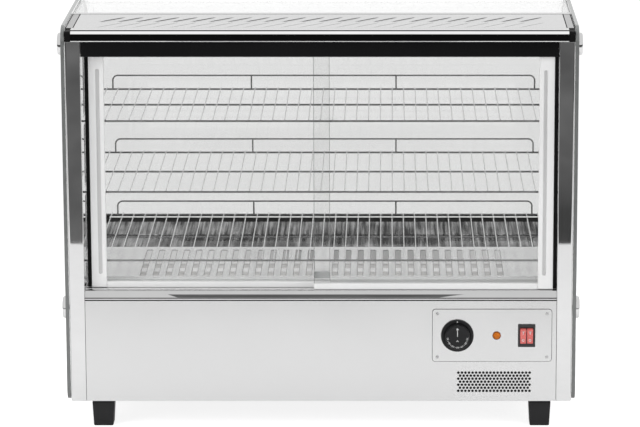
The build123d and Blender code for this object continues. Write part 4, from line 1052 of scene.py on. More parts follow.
class CASE_OT_glass_seat(bpy.types.Operator):
    """Black profile under the bent pane, its lip over the deck's edge and the pale strip beside the pane"""

    bl_idname = "display_case.glass_seat"
    bl_label = "Glass seat"

    def execute(self, context):
        first, last = low("glass_seat"), high("glass_seat")
        foot, pane_back = low("curved_glass")[2], high("curved_glass")[1]
        pane_front = pane_back - 5 * mm / cos(back_lean)
        strip = last[1] - 18 * mm
        top, ledge = last[2], last[2] - 4 * mm
        between_posts = (-opening_half, opening_half)
        section = rounded([
            (first[1], first[2]), (last[1], first[2]), (last[1], top), (pane_back + gap, top),
            (pane_back + gap, foot - gap), (pane_front - gap, foot - gap), (pane_front - 0.7 * mm, ledge),
            (strip, ledge), (strip, top), (first[1], top),
        ], np.array([0.4, 0.4, 0.6, 0.4, 0.2, 0.2, 0.2, 0.2, 0.5, 0.2]) * mm, 4)
        profile = carried(section, (first[0], last[0]), "X", 0.3 * mm)
        lip_section = rectangle((first[1] - seat_lip, top - 1.4 * mm), (first[1] - 0.05 * mm, top), 0.4 * mm)
        lip = carried(lip_section, between_posts, "X", 0.3 * mm)
        black = moulded("seat black", grey(0.004), 0.8, 1500.0, gloss=0.04)
        make_piece("pane_seat", of_kind(together(profile, lip), 0), [black], ["glass_seat"])
        bar_section = rectangle((strip + 0.2 * mm, top - 3.8 * mm), (pane_front - 1.0 * mm, top), 0.6 * mm)
        bar = carried(bar_section, between_posts, "X", 0.3 * mm)
        make_piece("seat_strip", of_kind(bar, 0), [anodised()])
        return {"FINISHED"}


class CASE_OT_top_beam(bpy.types.Operator):
    """Rounded nose over the doors, its black end caps and the black header strip"""

    bl_idname = "display_case.top_beam"
    bl_label = "Top beam"

    def execute(self, context):
        first, last = low("top_nose"), high("top_nose")
        wall, shoulder, drop, land, lean = 1.6 * mm, 4.5 * mm, 2.6 * mm, 5 * mm, 0.9 * mm
        steps = 10
        arc = steps + 1

        def outline(inset):
            """Section at a depth under the face: it steps down by drop behind its rounded shoulder, and its
            front leans back a little."""
            near, far = first[1] + inset, last[1] - inset
            foot, top = first[2] + inset, last[2] - inset
            return rounded(
                [(near, foot), (far, foot), (far, top), (near + land, top), (near + land, top - drop),
                 (near + lean, top - drop)],
                [max(1.6 * mm - inset, 0.2 * mm), 0.3 * mm, 0.3 * mm, 0.7 * mm, 0.2 * mm,
                 shoulder - inset], steps,
            )

        points, faces = tubing(outline(0), outline(wall), (first[0], last[0]), "X", 0.2 * mm)[:2]
        # From the second corner to the fourth the section is the back and the level top, which are satin
        column = np.arange(len(faces)) % len(outline(0))
        kinds = ((column >= arc) & (column < 3 * arc)).astype(int).tolist()
        # The nose's front takes polished steel brightened by 1.45, painted highlight on its shoulder band.
        finishes = [polished_steel("moulding with painted highlight", 1.45, 0.3), satin_steel()]
        make_piece("nose_moulding", (points, faces, kinds), finishes, ["top_nose"])
        cap_low, cap_high = low("nose_caps"), high("nose_caps")
        cap_top = cap_high[2] - drop
        cap_outline = rounded(
            [(cap_low[1], cap_low[2]), (cap_high[1], cap_low[2]), (cap_high[1], cap_top),
             (cap_low[1], cap_top)],
            [wall, 0.8 * mm, 0.8 * mm, shoulder], steps,
        )
        cap = carried(cap_outline, (last[0] + gap, cap_high[0]), "X", 0.7 * mm, 3)
        plug_y = (first[1] + last[1]) / 2 + wall
        plug_z = (first[2] + last[2]) / 2 - wall
        plug_section = rectangle((plug_y - 6 * mm, plug_z - 4.9 * mm), (plug_y + 6 * mm, plug_z + 4.9 * mm),
                                 1 * mm)
        plug = carried(plug_section, (last[0] + gap - 9 * mm, last[0] + gap + 0.5 * mm), "X", 0.4 * mm)
        right = of_kind(together(cap, plug), 0)
        black = moulded("cap black", grey(0.004), 0.5, 1800.0, gloss=0.12)
        make_piece("nose_ends", together(right, mirrored(right)), [black], ["nose_caps"])
        strip_low, strip_high = low("header_panel"), high("header_panel")
        strip = carried(rectangle(strip_low[[0, 2]], strip_high[[0, 2]], 0.6 * mm),
                        (strip_low[1], strip_high[1]), "Y", 0.5 * mm, 3)
        make_piece("header_strip", of_kind(strip, 0), [black_gloss()], ["header_panel"])
        return {"FINISHED"}


class CASE_OT_side_rails(bpy.types.Operator):
    """Rails beside the louvred cover, each between two black rubber beads that stand for the shaded gaps,
    painted shade
    """

    bl_idname = "display_case.side_rails"
    bl_label = "Side rails"

    def execute(self, context):
        last = high("top_rails")
        near, far = low("top_rails")[1], last[1]
        inner, bead = high("top_cover")[0] + gap, 1.3 * mm
        shell, shelf = low("base_sides")[1], low("top_nose")[2]
        outline = rounded(
            [(near, shelf), (shell, shelf), (shell, low("top_rails")[2]), (far, low("top_rails")[2]),
             (far, last[2]), (near, last[2])], 0.3 * mm, 3)
        rail = of_kind(carried(outline, (inner + bead, last[0] - bead), "X", 0.5 * mm, 3), 0)
        # The rails take satin steel darkened to 0.55, painted shade that dims their grazing reflection.
        make_piece("side_rails", together(rail, mirrored(rail)), [satin_steel("rail steel with painted shade", 0.55)],
                   ["top_rails"])
        foot, top = last[2] - 5 * mm, last[2] - 0.5 * mm
        beads = []
        for x in (inner, last[0] - bead + 0.1 * mm):
            section = rectangle((x, foot), (x + bead - 0.1 * mm, top), 0.3 * mm, 3)
            beads.append(carried(section, (near + 0.2 * mm, far - 0.2 * mm), "Y", 0.3 * mm))
        # The beads are black strips where the gaps beside each rail are in shade, painted shade.
        dark = of_kind(together(*beads), 0)
        make_piece("rail_shade_beads", together(dark, mirrored(dark)), [black_rubber()])
        return {"FINISHED"}


def pressed_hood(length, width, rise, thick):
    """Pressed louvre over a slot. With u along the slot from -1 to 1 and v across from 0 at its mouth to 1,
    its height is rise times the root of (1 - u to the fourth) times a quarter wave's fall from 1 to 0 in v;
    the under side lies a sheet's thickness lower."""
    u = np.sin(np.linspace(-pi / 2, pi / 2, 13))
    v = np.linspace(0, 1, 7)
    uu, vv = np.meshgrid(u, v, indexing="ij")
    arch = np.sqrt(np.clip(1 - uu ** 4, 0, 1))
    height = rise * arch * np.cos(vv * pi / 2) ** 0.8
    across = width * vv * (0.35 + 0.65 * arch)
    upper = np.stack([uu * length / 2, across, height], -1)
    lower = np.stack([uu * (length / 2 - thick), across * 0.96, height - thick], -1)
    rows, columns = uu.shape
    top = grid_faces(rows, columns)
    bottom = top[:, ::-1] + rows * columns
    index = np.arange(rows * columns).reshape(rows, columns)
    rim = np.concatenate([index[:, 0], index[-1, 1:], index[-2::-1, -1], index[0, -2:0:-1]])
    rim_next = np.roll(rim, -1)
    sides = np.stack([rim_next, rim, rim + rows * columns, rim_next + rows * columns], -1)
    faces = np.concatenate([top, bottom, sides])
    points = np.concatenate([upper.reshape(-1, 3), lower.reshape(-1, 3)])
    return points, faces.tolist(), [0] * len(faces)


class CASE_OT_top_cover(bpy.types.Operator):
    """Louvred cover: two rows of slanted slots, each under a pressed hood that opens to the front"""

    bl_idname = "display_case.top_cover"
    bl_label = "Top cover"

    def execute(self, context):
        first, last = low("top_cover"), high("top_cover")
        top = high("top_nose")[2]
        slant = radians(50)
        direction = np.array([cos(slant), sin(slant)])
        square = np.array([-sin(slant), cos(slant)])
        length, slot, columns = 62 * mm, 3 * mm, 24
        centres = [((number - (columns - 1) / 2) * 30.5 * mm, first[1] + 29.5 * mm + row * 56 * mm)
                   for row in range(2) for number in range(columns)]
        outlines = [rectangle(first[:2], last[:2], 0.8 * mm)]
        flat_slot = rectangle((-length / 2, -slot / 2), (length / 2, slot / 2), 0.8 * mm, 2)
        turned = flat_slot[:, :1] * direction + flat_slot[:, 1:] * square
        outlines += [turned + np.asarray(centre) for centre in centres]
        plate = of_kind(pierced(outlines, (top - sheet, top), "Z", 0.2 * mm), 0)
        hoods = []
        for row, share in ((0, 0.4), (1, 1.0)):
            points, faces, kinds = pressed_hood(length - 1 * mm, 8 * mm, sizes().hood_rise * share, 0.5 * mm)
            lifted = points - np.array([0, slot / 2 + 0.1 * mm, 0])
            laid = np.concatenate([lifted[:, :1] * direction + lifted[:, 1:2] * square, lifted[:, 2:]], 1)
            places = [(x, y, top - 0.05 * mm) for x, y in centres[row * columns:(row + 1) * columns]]
            hoods.append(repeated((laid, faces, kinds), places))
        drop = rectangle((first[1], first[2]), (last[1], top - sheet), 0.6 * mm)
        side = of_kind(carried(drop, (last[0] - sheet, last[0]), "X", 0.3 * mm), 0)
        cover = together(plate, *hoods, side, mirrored(side))
        make_piece("louvred_cover", cover, [satin_steel()], ["top_cover"])
        return {"FINISHED"}


class CASE_OT_shelves(bpy.types.Operator):
    """Three wire shelves: cross wires, welded rods and a bent rail raised along the back"""

    bl_idname = "display_case.shelves"
    bl_label = "Wire shelves"

    def execute(self, context):
        sides = sizes().wire_sides
        cross, rod, rail = 1.7 * mm, 1.0 * mm, 1.4 * mm
        for name in ("top", "middle", "bottom"):
            node = f"{name}_shelf"
            first, last = low(node), high(node)
            shelf_z = first[2] + cross
            near = first[1] + cross
            rail_y = last[1] - 1.2124 * mm
            far = rail_y - rail
            half = last[0]
            across = wire([(-half, 0, 0), (0, 0, 0), (half, 0, 0)], cross, sides + 2)
            beams = repeated(across, [(0, y, shelf_z) for y in (near, (near + far) / 2, far)])
            start, end = near - cross, far + cross
            single = wire([(0, start, 0), (0, (start + end) / 2, 0), (0, end, 0)], rod, sides)
            rods = repeated(single, [(x, 0, shelf_z + cross + rod - 0.15 * mm)
                                     for x in np.arange(-20, 21) * 20 * mm])
            foot, rise, bend = shelf_z + cross, 22.5 * mm, 9 * mm
            reach = half - 34 * mm
            line = rounded([(-reach, foot - cross), (-reach, foot + rise), (reach, foot + rise),
                            (reach, foot - cross)], [0, bend, bend, 0], 10)
            path = np.stack([line[:, 0], np.full(len(line), rail_y), line[:, 1]], -1)
            back_rail = wire(path, rail, sides + 2, side_way=(0, 1, 0))
            post = wire([(0, rail_y, foot - cross), (0, rail_y, foot + rise / 2), (0, rail_y, foot + rise)],
                        rail, sides + 2, side_way=(0, 1, 0))
            posts = repeated(post, [(-reach * 0.343, 0, 0), (reach * 0.343, 0, 0)])
            # Cross wires, back rail and posts take the chromed wire darkened to 0.33, painted dark
            # reflection.
            frame_wires = of_kind(together(beams, back_rail, posts), 1)
            make_piece(f"{name}_wire_shelf", together(rods, frame_wires),
                       [chromed_wire(), chromed_wire("frame wire with painted reflection", 0.33)], [node], sharp=60)
        return {"FINISHED"}


def grooved_profile(outer, inner, track_y, foot, top):
    """Door handle: a rounded profile with a deep mouth for the pane, carried upwards, whose front face is
    pressed back by 3 mm times a smooth step of the distance inside a stadium-shaped finger groove. Kind 1
    is the groove."""
    side = np.sign(outer - inner)
    centre = (outer + inner) / 2 - side * 2.4 * mm
    face_y = track_y - 6 * mm
    mouth = 2.8 * mm
    bite = inner + side * 22 * mm
    ends = [(outer, face_y), (outer, face_y + 12 * mm), (inner, face_y + 12 * mm), (inner, track_y + mouth),
            (bite, track_y + mouth), (bite, track_y - mouth), (inner, track_y - mouth), (inner, face_y)]
    outline = rounded(ends, [1 * mm, 1 * mm, 1 * mm, 0.3 * mm, 0.3 * mm, 0.3 * mm, 0.3 * mm, 1 * mm], 4)
    groove = np.concatenate([[-8 * mm], np.linspace(-3.9 * mm, 3.9 * mm, 21), [8 * mm]])
    across = centre - side * groove
    face_run = np.stack([across[::-1], np.full(len(across), face_y)], -1)
    outline = np.concatenate([outline, face_run if side * (face_run[-1, 0] - face_run[0, 0]) > 0
                              else face_run[::-1]])
    groove_foot, groove_top = foot + 23 * mm, top - 25 * mm
    bend = 3 * mm
    near_end = np.linspace(-1.2 * mm, 5 * mm, 15)
    stations = np.concatenate([[foot, foot + 0.5 * mm], groove_foot + near_end,
                               (groove_top - near_end)[::-1], [top - 0.5 * mm, top]])
    inset = np.zeros(len(stations))
    inset[[0, -1]] = 0.45 * mm
    outline = ordered(outline)
    rings = drawn_in(outline, inset)
    z = np.broadcast_to(stations[:, None], rings.shape[:2])
    nearest = np.clip(z, groove_foot + bend, groove_top - bend)
    distance = bend - np.hypot(rings[..., 0] - centre, z - nearest)
    step = np.clip(distance / (0.7 * mm) + 0.5, 0, 1)
    sink = 3 * mm * step * step * (3 - 2 * step)
    on_face = np.abs(rings[..., 1] - face_y) < 0.05 * mm
    pressed = np.stack([rings[..., 0], rings[..., 1] + np.where(on_face, sink, 0)], -1)
    points = placed(pressed, stations[:, None], "Z")
    walls, end_faces = closed_stack(len(stations), len(outline))
    sunk = np.where(on_face, sink, 0).reshape(-1)[np.array(walls)].mean(1) > 1 * mm
    return points.reshape(-1, 3), walls + end_faces, sunk.astype(int).tolist() + [0, 0]


class CASE_OT_doors(bpy.types.Operator):
    """Two sliding doors: ground pane, grooved handle, rubber bumper, bottom runner, and the spacer pad"""

    bl_idname = "display_case.doors"
    bl_label = "Sliding doors"

    def execute(self, context):
        rubber = black_rubber()
        for name in ("left", "right"):
            body = f"{name}_door"
            pane_low, pane_high = low(f"{name}_door_glass"), high(f"{name}_door_glass")
            face = rectangle(pane_low[[0, 2]], pane_high[[0, 2]], 0.8 * mm)
            pane = changed_over(carried(face, (pane_low[1], pane_high[1]), "Y", sizes().glass_edge))
            make_piece(f"{name}_pane", pane, [pane_glass(), glass_edge()],
                       [f"{name}_door_glass"], body)
            track_y = (pane_low[1] + pane_high[1]) / 2
            grip_low, grip_high = low(f"{name}_door_handle"), high(f"{name}_door_handle")
            outer, inner = (grip_low[0], grip_high[0]) if name == "left" else (grip_high[0], grip_low[0])
            grip = grooved_profile(outer, inner, track_y, grip_low[2], grip_high[2])
            # The finger groove takes the handle colour darkened to 0.80 with a weaker glow, painted shade in
            # the groove.
            shaded = anodised("groove with painted shade", scaled(colours().handle, 0.80), 0.03)
            make_piece(f"{name}_handle", grip, [anodised(), shaded],
                       [f"{name}_door_handle"], body, sharp=50)
            pad_low, pad_high = low(f"{name}_door_bumper"), high(f"{name}_door_bumper")
            pad = carried(rectangle(pad_low[:2], pad_high[:2], 1.1 * mm), (pad_low[2], pad_high[2]), "Z",
                          0.5 * mm)
            make_piece(f"{name}_bumper", of_kind(pad, 0), [rubber],
                       [f"{name}_door_bumper"], body)
            run_low, run_high = low(f"{name}_door_runner"), high(f"{name}_door_runner")
            half, tongue, groove = 4 * mm, 1.5 * mm, 2.8 * mm
            base, floor = run_low[2] + 3.6 * mm, pane_low[2] - gap
            section = rounded([
                (track_y - half, base), (track_y - tongue, base), (track_y - tongue, run_low[2]),
                (track_y + tongue, run_low[2]), (track_y + tongue, base), (track_y + half, base),
                (track_y + half, run_high[2]), (track_y + groove, run_high[2]), (track_y + groove, floor),
                (track_y - groove, floor), (track_y - groove, run_high[2]), (track_y - half, run_high[2]),
            ], np.array([0.5, 0.2, 0.5, 0.5, 0.2, 0.5, 0.5, 0.3, 0.2, 0.2, 0.3, 0.5]) * mm, 3)
            runner = carried(section, (run_low[0], run_high[0]), "X", 0.2 * mm)
            make_piece(f"{name}_runner", of_kind(runner, 0), [anodised("anodised runner")],
                       [f"{name}_door_runner"], body)
        pad_low, pad_high = low("door_spacer"), high("door_spacer")
        pad = carried(rectangle(pad_low[[0, 2]], pad_high[[0, 2]], 1.2 * mm), (pad_low[1], pad_high[1]), "Y",
                      0.5 * mm)
        grey = moulded("grey pad", (0.42, 0.43, 0.43), 0.5, 1500.0)
        make_piece("spacer_pad", of_kind(pad, 0), [grey], ["door_spacer"], "right_door")
        return {"FINISHED"}


def screw_head(radius, rise):
    """Pan-head screw. On a polar grid its height is rise times the root of (1 - r squared), flattened, less a
    cross recess whose arms are a smooth step of the distance from either axis."""
    sides = 48
    share = np.concatenate([np.linspace(0, 0.92, 15), [0.97, 1.0]])
    turn = np.arange(sides) * 2 * pi / sides
    rr, tt = np.meshgrid(share, turn, indexing="ij")
    x, y = rr * np.cos(tt), rr * np.sin(tt)
    arm = np.minimum(np.abs(x), np.abs(y))
    reach = np.maximum(np.abs(x), np.abs(y))
    recess = np.clip((0.17 - arm) / 0.08, 0, 1) * np.clip((0.62 - reach) / 0.12, 0, 1)
    height = rise * np.sqrt(np.clip(1 - rr ** 4, 0, 1)) - 0.55 * rise * recess
    top = np.stack([radius * x, -height, radius * y], -1).reshape(-1, 3)
    walls, ends = closed_stack(len(share), sides)
    return top, walls + ends[1:], [0] * (len(walls) + 1)


class CASE_OT_control_plate(bpy.types.Operator):
    """Control plate with rounded corners, the holes for its parts and four screws"""

    bl_idname = "display_case.control_plate"
    bl_label = "Control plate"

    def execute(self, context):
        first, last = low("control_plate"), high("control_plate")
        dial, lamp, switch = (middle(node)[[0, 2]] for node in
                              ("thermostat_bezel", "indicator_lamp", "switch_frame"))
        body = np.array([13.8, 18.8]) * mm
        outlines = [
            rectangle(first[[0, 2]], last[[0, 2]], 5 * mm, 8), circle(dial, 5.8 * mm, 32),
            circle(lamp, 5.3 * mm, 32), rectangle(switch - body, switch + body, 0.4 * mm),
        ]
        plate = of_kind(pierced(outlines, (first[1], last[1]), "Y", 0.35 * mm), 0)
        make_piece("control_face", plate, [satin_steel()], ["control_plate"])
        centre = middle("control_plate")[[0, 2]]
        reach = (last - first)[[0, 2]] / 2 - np.array([8.0, 7.5]) * mm
        places = [(centre[0] + sx * reach[0], first[1], centre[1] + sz * reach[1])
                  for sx in (-1, 1) for sz in (-1, 1)]
        heads = repeated(screw_head(sizes().screw_head / 2, 1.3 * mm), places)
        make_piece("plate_screws", heads, [satin_steel("screw steel", 0.9)], sharp=60)
        # A dark grey ring round the plate's edge stands for the shaded gap there, painted shade.
        edge = 0.75 * mm
        shade_ring = of_kind(pierced([
            rectangle(first[[0, 2]] - edge, last[[0, 2]] + edge, 5 * mm + edge, 8),
            rectangle(first[[0, 2]] - 0.02 * mm, last[[0, 2]] + 0.02 * mm, 5 * mm, 8),
        ], (last[1] - 0.5 * mm, last[1]), "Y", 0.1 * mm), 0)
        make_piece("plate_shade_ring", shade_ring, [moulded("shade ring grey", grey(0.035), 0.6, 1800.0)])
        return {"FINISHED"}


def set_on_face(points, place, turn, face_y):
    """Sets a mark on the face at face_y: a point (u, v, w) goes to place plus u and v turned by the angle,
    and stands out by w."""
    u, v, w = points.T
    x = place[0] + u * cos(turn) - v * sin(turn)
    z = place[1] + u * sin(turn) + v * cos(turn)
    return np.stack([x, face_y - w, z], -1)


def flat_print(shape, place, turn, face_y):
    """A printed mark: a flat outline with the thickness of ink, turned about its middle."""
    points, faces = pierced(shape, (0.0, 0.06 * mm), "Z")[:2]
    return set_on_face(points, place, turn, face_y), faces, [0] * len(faces)


def figure_print(text, height, place, turn, face_y):
    """Printed figures: a text object made into a mesh, then set like any other mark."""
    half_thick = 0.03 * mm
    curve = bpy.data.curves.new("figure", "FONT")
    curve.body = text
    curve.size = height
    curve.align_x = "CENTER"
    curve.align_y = "CENTER"
    curve.extrude = half_thick
    curve.resolution_u = 2
    holder = bpy.data.objects.new("figure", curve)
    bpy.context.scene.collection.objects.link(holder)
    mesh = bpy.data.meshes.new_from_object(holder)
    co = np.zeros(len(mesh.vertices) * 3)
    mesh.vertices.foreach_get("co", co)
    faces = [list(polygon.vertices) for polygon in mesh.polygons]
    bpy.data.objects.remove(holder)
    bpy.data.curves.remove(curve)
    bpy.data.meshes.remove(mesh)
    points = set_on_face(co.reshape(-1, 3), place, turn, face_y - half_thick)
    return points, faces, [0] * len(faces)


class CASE_OT_thermostat(bpy.types.Operator):
    """Thermostat: fixed ring with its mark, tapered dial with an arrow, figures and ticks"""

    bl_idname = "display_case.thermostat"
    bl_label = "Thermostat"

    def execute(self, context):
        centre = middle("thermostat_bezel")[[0, 2]]
        plate_y, ring_y = high("thermostat_bezel")[1], low("thermostat_bezel")[1]
        thick = plate_y - ring_y
        ring_profile = [
            (4.3 * mm, 0), (27.5 * mm, 0), (27.5 * mm, thick - 1.4 * mm), (27.3 * mm, thick - 0.9 * mm),
            (26.6 * mm, thick - 0.25 * mm), (26.0 * mm, thick), (22.9 * mm, thick),
            (22.4 * mm, thick - 0.25 * mm), (22.0 * mm, thick - 0.9 * mm), (4.3 * mm, thick - 0.9 * mm),
            (4.3 * mm, 0),
        ]
        ring = revolved(ring_profile, 72, (centre[0], plate_y, centre[1]), "Y", -1)
        black = moulded("dial black", scaled(colours().plastic, 0.9), 0.36, 3000.0, 0.02 * mm, 0.22)
        make_piece("dial_ring", ring, [black], ["thermostat_bezel"])
        mark = flat_print([rectangle((-0.8 * mm, -1.25 * mm), (0.8 * mm, 1.25 * mm), 0.6 * mm)],
                          (centre[0], centre[1] + 24.4 * mm), 0, ring_y)
        make_piece("ring_mark", mark, [white_print()])

        back_y, face_y = ring_y + gap, low("thermostat_dial")[1]
        rise = back_y - face_y
        slope = tan(radians(1.5))
        turn = np.linspace(0, pi / 2, 6)
        top_radius = 21 * mm - rise * slope
        bend = 1.2 * mm
        edge = np.stack([top_radius - bend * (1 - np.sin(turn)), rise - bend * (1 - np.cos(turn))], -1)
        dial_profile = np.concatenate([
            [(0, -18 * mm), (3 * mm, -18 * mm), (3 * mm, 0), (20.4 * mm, 0), (21 * mm, 0.5 * mm)],
            edge[::-1], [(18.2 * mm, rise), (17.9 * mm, rise - 0.15 * mm), (0, rise - 0.15 * mm)],
        ])
        dial = revolved(dial_profile, 72, (centre[0], back_y, centre[1]), "Y", -1)
        make_piece("dial_knob", dial, [black], ["thermostat_dial"], "dial")

        print_y = face_y + 0.15 * mm
        shaft = rectangle((-0.55 * mm, 2.4 * mm), (0.55 * mm, 15.4 * mm))
        arrow_head = np.array([
            (-2.3, 14.2), (-1.6, 13.4), (0.0, 15.2), (1.6, 13.4), (2.3, 14.2), (0.0, 17.3)]) * mm
        chevron = np.array([
            (-2.0, -1.2), (-1.2, -1.7), (0.0, 0.1), (1.2, -1.7), (2.0, -1.2), (0.0, 1.5)]) * mm
        marks = [
            flat_print([shaft], centre, 0, print_y),
            flat_print([arrow_head], centre, 0, print_y),
            flat_print([chevron], (centre[0], centre[1] - 5.0 * mm), 0, print_y),
        ]
        tick = [rectangle((-0.28 * mm, -0.9 * mm), (0.28 * mm, 0.9 * mm))]
        figures, first_angle, pitch = 7, 186, 28
        for number in range(figures):
            around = radians(first_angle + pitch * number)
            place = centre + 16.3 * mm * np.array([cos(around), sin(around)])
            marks.append(figure_print(str(30 + 10 * number), sizes().print_height, place,
                                      around - pi / 2, print_y))
            if number < figures - 1:
                between = around + radians(pitch / 2)
                place = centre + 16.8 * mm * np.array([cos(between), sin(between)])
                marks.append(flat_print(tick, place, between - pi / 2, print_y))
        make_piece("dial_print", together(*marks), [white_print()], body="dial")
        return {"FINISHED"}


class CASE_OT_indicator(bpy.types.Operator):
    """Indicator lamp: flange, domed lens with a stepped ring, and the barrel through the plate"""

    bl_idname = "display_case.indicator"
    bl_label = "Indicator lamp"

    def execute(self, context):
        first, last = low("indicator_lamp"), high("indicator_lamp")
        centre = middle("indicator_lamp")
        plate_y = low("control_plate")[1]
        reach = plate_y - first[1]
        length = last[1] - plate_y
        angle = np.linspace(0, pi / 2, 9)
        dome = np.stack([5.6 * mm * np.cos(angle), reach - 2.2 * mm + 2.2 * mm * np.sin(angle)], -1)
        profile = np.concatenate([
            [(0, -length), (4.5 * mm, -length), (5 * mm, -length + 0.5 * mm), (5 * mm, 0), (7.15 * mm, 0),
             (7.15 * mm, 1.0 * mm), (6.9 * mm, 1.5 * mm), (6.3 * mm, 1.75 * mm), (5.7 * mm, 1.6 * mm)],
            dome,
        ])
        profile[-1, 0] = 0.0
        sides = 48
        points, faces = revolved(profile, sides, (centre[0], plate_y, centre[2]), "Y", -1)[:2]
        body_faces = (len(profile) - len(dome)) * sides
        kinds = [1] * body_faces + [0] * (len(faces) - body_faces)
        amber = lit_plastic("amber lens", colours().indicator, 0.13, 0.55, gloss=0.3)
        amber_body = lit_plastic("amber body", scaled(colours().indicator, 0.42), 0.03, 0.7, gloss=0.3)
        make_piece("amber_lamp", (points, faces, kinds), [amber, amber_body],
                   ["indicator_lamp"], sharp=50)
        return {"FINISHED"}


def rocker_face(z, half, proud, valley):
    """Front of a rocker before it tilts: proud at both ends and dipped by valley between, on a parabola."""
    return -proud + valley * (1 - (z / half) ** 2)


class CASE_OT_switch(bpy.types.Operator):
    """Double switch: frame with two openings and two lit rockers with their marks"""

    bl_idname = "display_case.switch"
    bl_label = "Switch"

    def execute(self, context):
        first, last = low("switch_frame"), high("switch_frame")
        centre = middle("switch_frame")[[0, 2]]
        plate_y = low("control_plate")[1]
        half_height, divider = 14 * mm, 0.3 * mm
        half_width = 10.8 * mm + divider
        left = rectangle(centre + [-half_width, -half_height], centre + [-divider, half_height], 0.3 * mm)
        right = rectangle(centre + [divider, -half_height], centre + [half_width, half_height], 0.3 * mm)
        flange = pierced([rectangle(first[[0, 2]], last[[0, 2]], 1.2 * mm), left, right],
                         (first[1], plate_y), "Y", 0.5 * mm)
        body = np.array([13.5, 18.5]) * mm
        shell = pierced([rectangle(centre - body, centre + body, 0.8 * mm), left, right],
                        (plate_y, first[1] + 18 * mm), "Y", 0.0)
        back = carried(rectangle(centre - body, centre + body, 0.8 * mm), (first[1] + 18 * mm, last[1]), "Y",
                       0.3 * mm)
        black = moulded("switch black", scaled(colours().plastic, 1.1), 0.4, 2600.0)
        make_piece("switch_case", of_kind(together(flange, shell, back), 0), [black],
                   ["switch_frame"])
        pivot_y = first[1] + 5.5 * mm
        tilt = radians(9)
        half, proud, valley, width = 12.7 * mm, 7 * mm, 1.6 * mm, 5.1 * mm
        red = lit_plastic("lit rocker", colours().rocker, 0.16, 0.75)
        z = np.linspace(half, -half, 15)
        face = np.stack([rocker_face(z, half, proud, valley), z], -1)
        tail = np.array([(0.0, -half), (4 * mm, -6 * mm), (4 * mm, 6 * mm), (0.0, half)])
        outline = np.concatenate([face, tail])

        def tilted(points):
            """Turns by the tilt about the rocker's pivot, which lies across."""
            x, y, z = points.T
            return np.stack([x, pivot_y + y * cos(tilt) - z * sin(tilt),
                             centre[1] + y * sin(tilt) + z * cos(tilt)], -1)

        for name in ("left", "right"):
            x = middle(f"rocker_{name}")[0]
            points, faces = carried(outline, (x - width, x + width), "X", 0.7 * mm, 3)[:2]
            make_piece(f"rocker_key_{name}", (tilted(points), faces, [0] * len(faces)), [red],
                       [f"rocker_{name}"], f"rocker_{name}", sharp=50)
            stroke = [rectangle((-0.55 * mm, -2.6 * mm), (0.55 * mm, 2.6 * mm))]
            bar = [rectangle((-2.3 * mm, -0.5 * mm), (2.3 * mm, 0.5 * mm))]
            ring = [circle((0, 0), 2.2 * mm, 28), circle((0, 0), 1.3 * mm, 28)]
            marks = []
            for shape, at in ((stroke, 5.6 * mm), (bar, 8.4 * mm), (ring, -7.2 * mm)):
                points, faces, kinds = pierced(shape, (0.0, 0.08 * mm), "Z")
                u, v, w = points.T
                height = at + v
                flat = np.stack([x + u, rocker_face(height, half, proud, valley) - w, height], -1)
                marks.append((tilted(flat), faces, kinds))
            make_piece(f"rocker_marks_{name}", of_kind(together(*marks), 0), [white_print()],
                       body=f"rocker_{name}")
        return {"FINISHED"}


class CASE_OT_feet(bpy.types.Operator):
    """Four moulded feet that taper to the sole, with a ribbed waist"""

    bl_idname = "display_case.feet"
    bl_label = "Feet"

    def execute(self, context):
        for row in ("front", "back"):
            for side in ("left", "right"):
                node = f"foot_{row}_{side}"
                first, last = low(node), high(node)
                outline = rectangle(first[:2], last[:2], 3 * mm, 6)
                height = last[2] - first[2]
                level = np.concatenate([
                    [0, 0.5, 1.2, 2.2], np.linspace(4, 40, 13),
                    [41, 41.6, 42.6, 43.2, 46.6, 47.3, height / mm],
                ]) * mm
                inset = np.zeros(len(level))
                inset[:4] = np.array([1.5, 0.6, 0.15, 0]) * mm
                inset[-6:-4] = 0.8 * mm
                inset[-1] = 0.5 * mm
                sole, top = 33, 38
                share = (sole + (top - sole) * level / height) / top
                centre = (outline.min(0) + outline.max(0)) / 2
                rings = centre + (drawn_in(outline, inset) - centre) * share[:, None, None]
                points = placed(rings, (first[2] + level)[:, None], "Z").reshape(-1, 3)
                walls, ends = closed_stack(len(level), len(outline))
                foot = points, walls + ends, [0] * (len(walls) + 2)
                make_piece(f"rubber_{node}", foot, [black_plastic()], [node], sharp=50)
        return {"FINISHED"}


class CASE_OT_frame_finishes(bpy.types.Operator):
    """Finishes of the frame's own parts that keep their shape"""

    bl_idname = "display_case.frame_finishes"
    bl_label = "Finishes of the frame"

    def execute(self, context):
        kept = {
            satin_steel: ("base_sides", "customer_panel", "ceiling_panel", "glass_channel",
                          "shelf_uprights", "top_brackets", "middle_brackets", "bottom_brackets"),
            # The reflector pan glows as painted light.
            reflector_sheet: ("reflector_pan",),
            dull_sheet: ("element_holders",),
            # The base floor takes the dark sheet, painted shade under the deck.
            painted_shade_sheet: ("base_floor",),
            # The heater tubes and sensor bulb glow by 0.2, painted light.
            heater_tube_painted_light: ("heating_elements", "sensor_bulb"),
            anodised: ("upper_track",),
            black_plastic: ("thermostat_body", "cord_gland"),
            ceramic: ("lamp_holders", "terminal_block"),
            lamp_glass: ("lamp_tube",),
        }
        for finish, nodes in kept.items():
            for node in nodes:
                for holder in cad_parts[node].material_slots:
                    holder.material = finish()
        return {"FINISHED"}


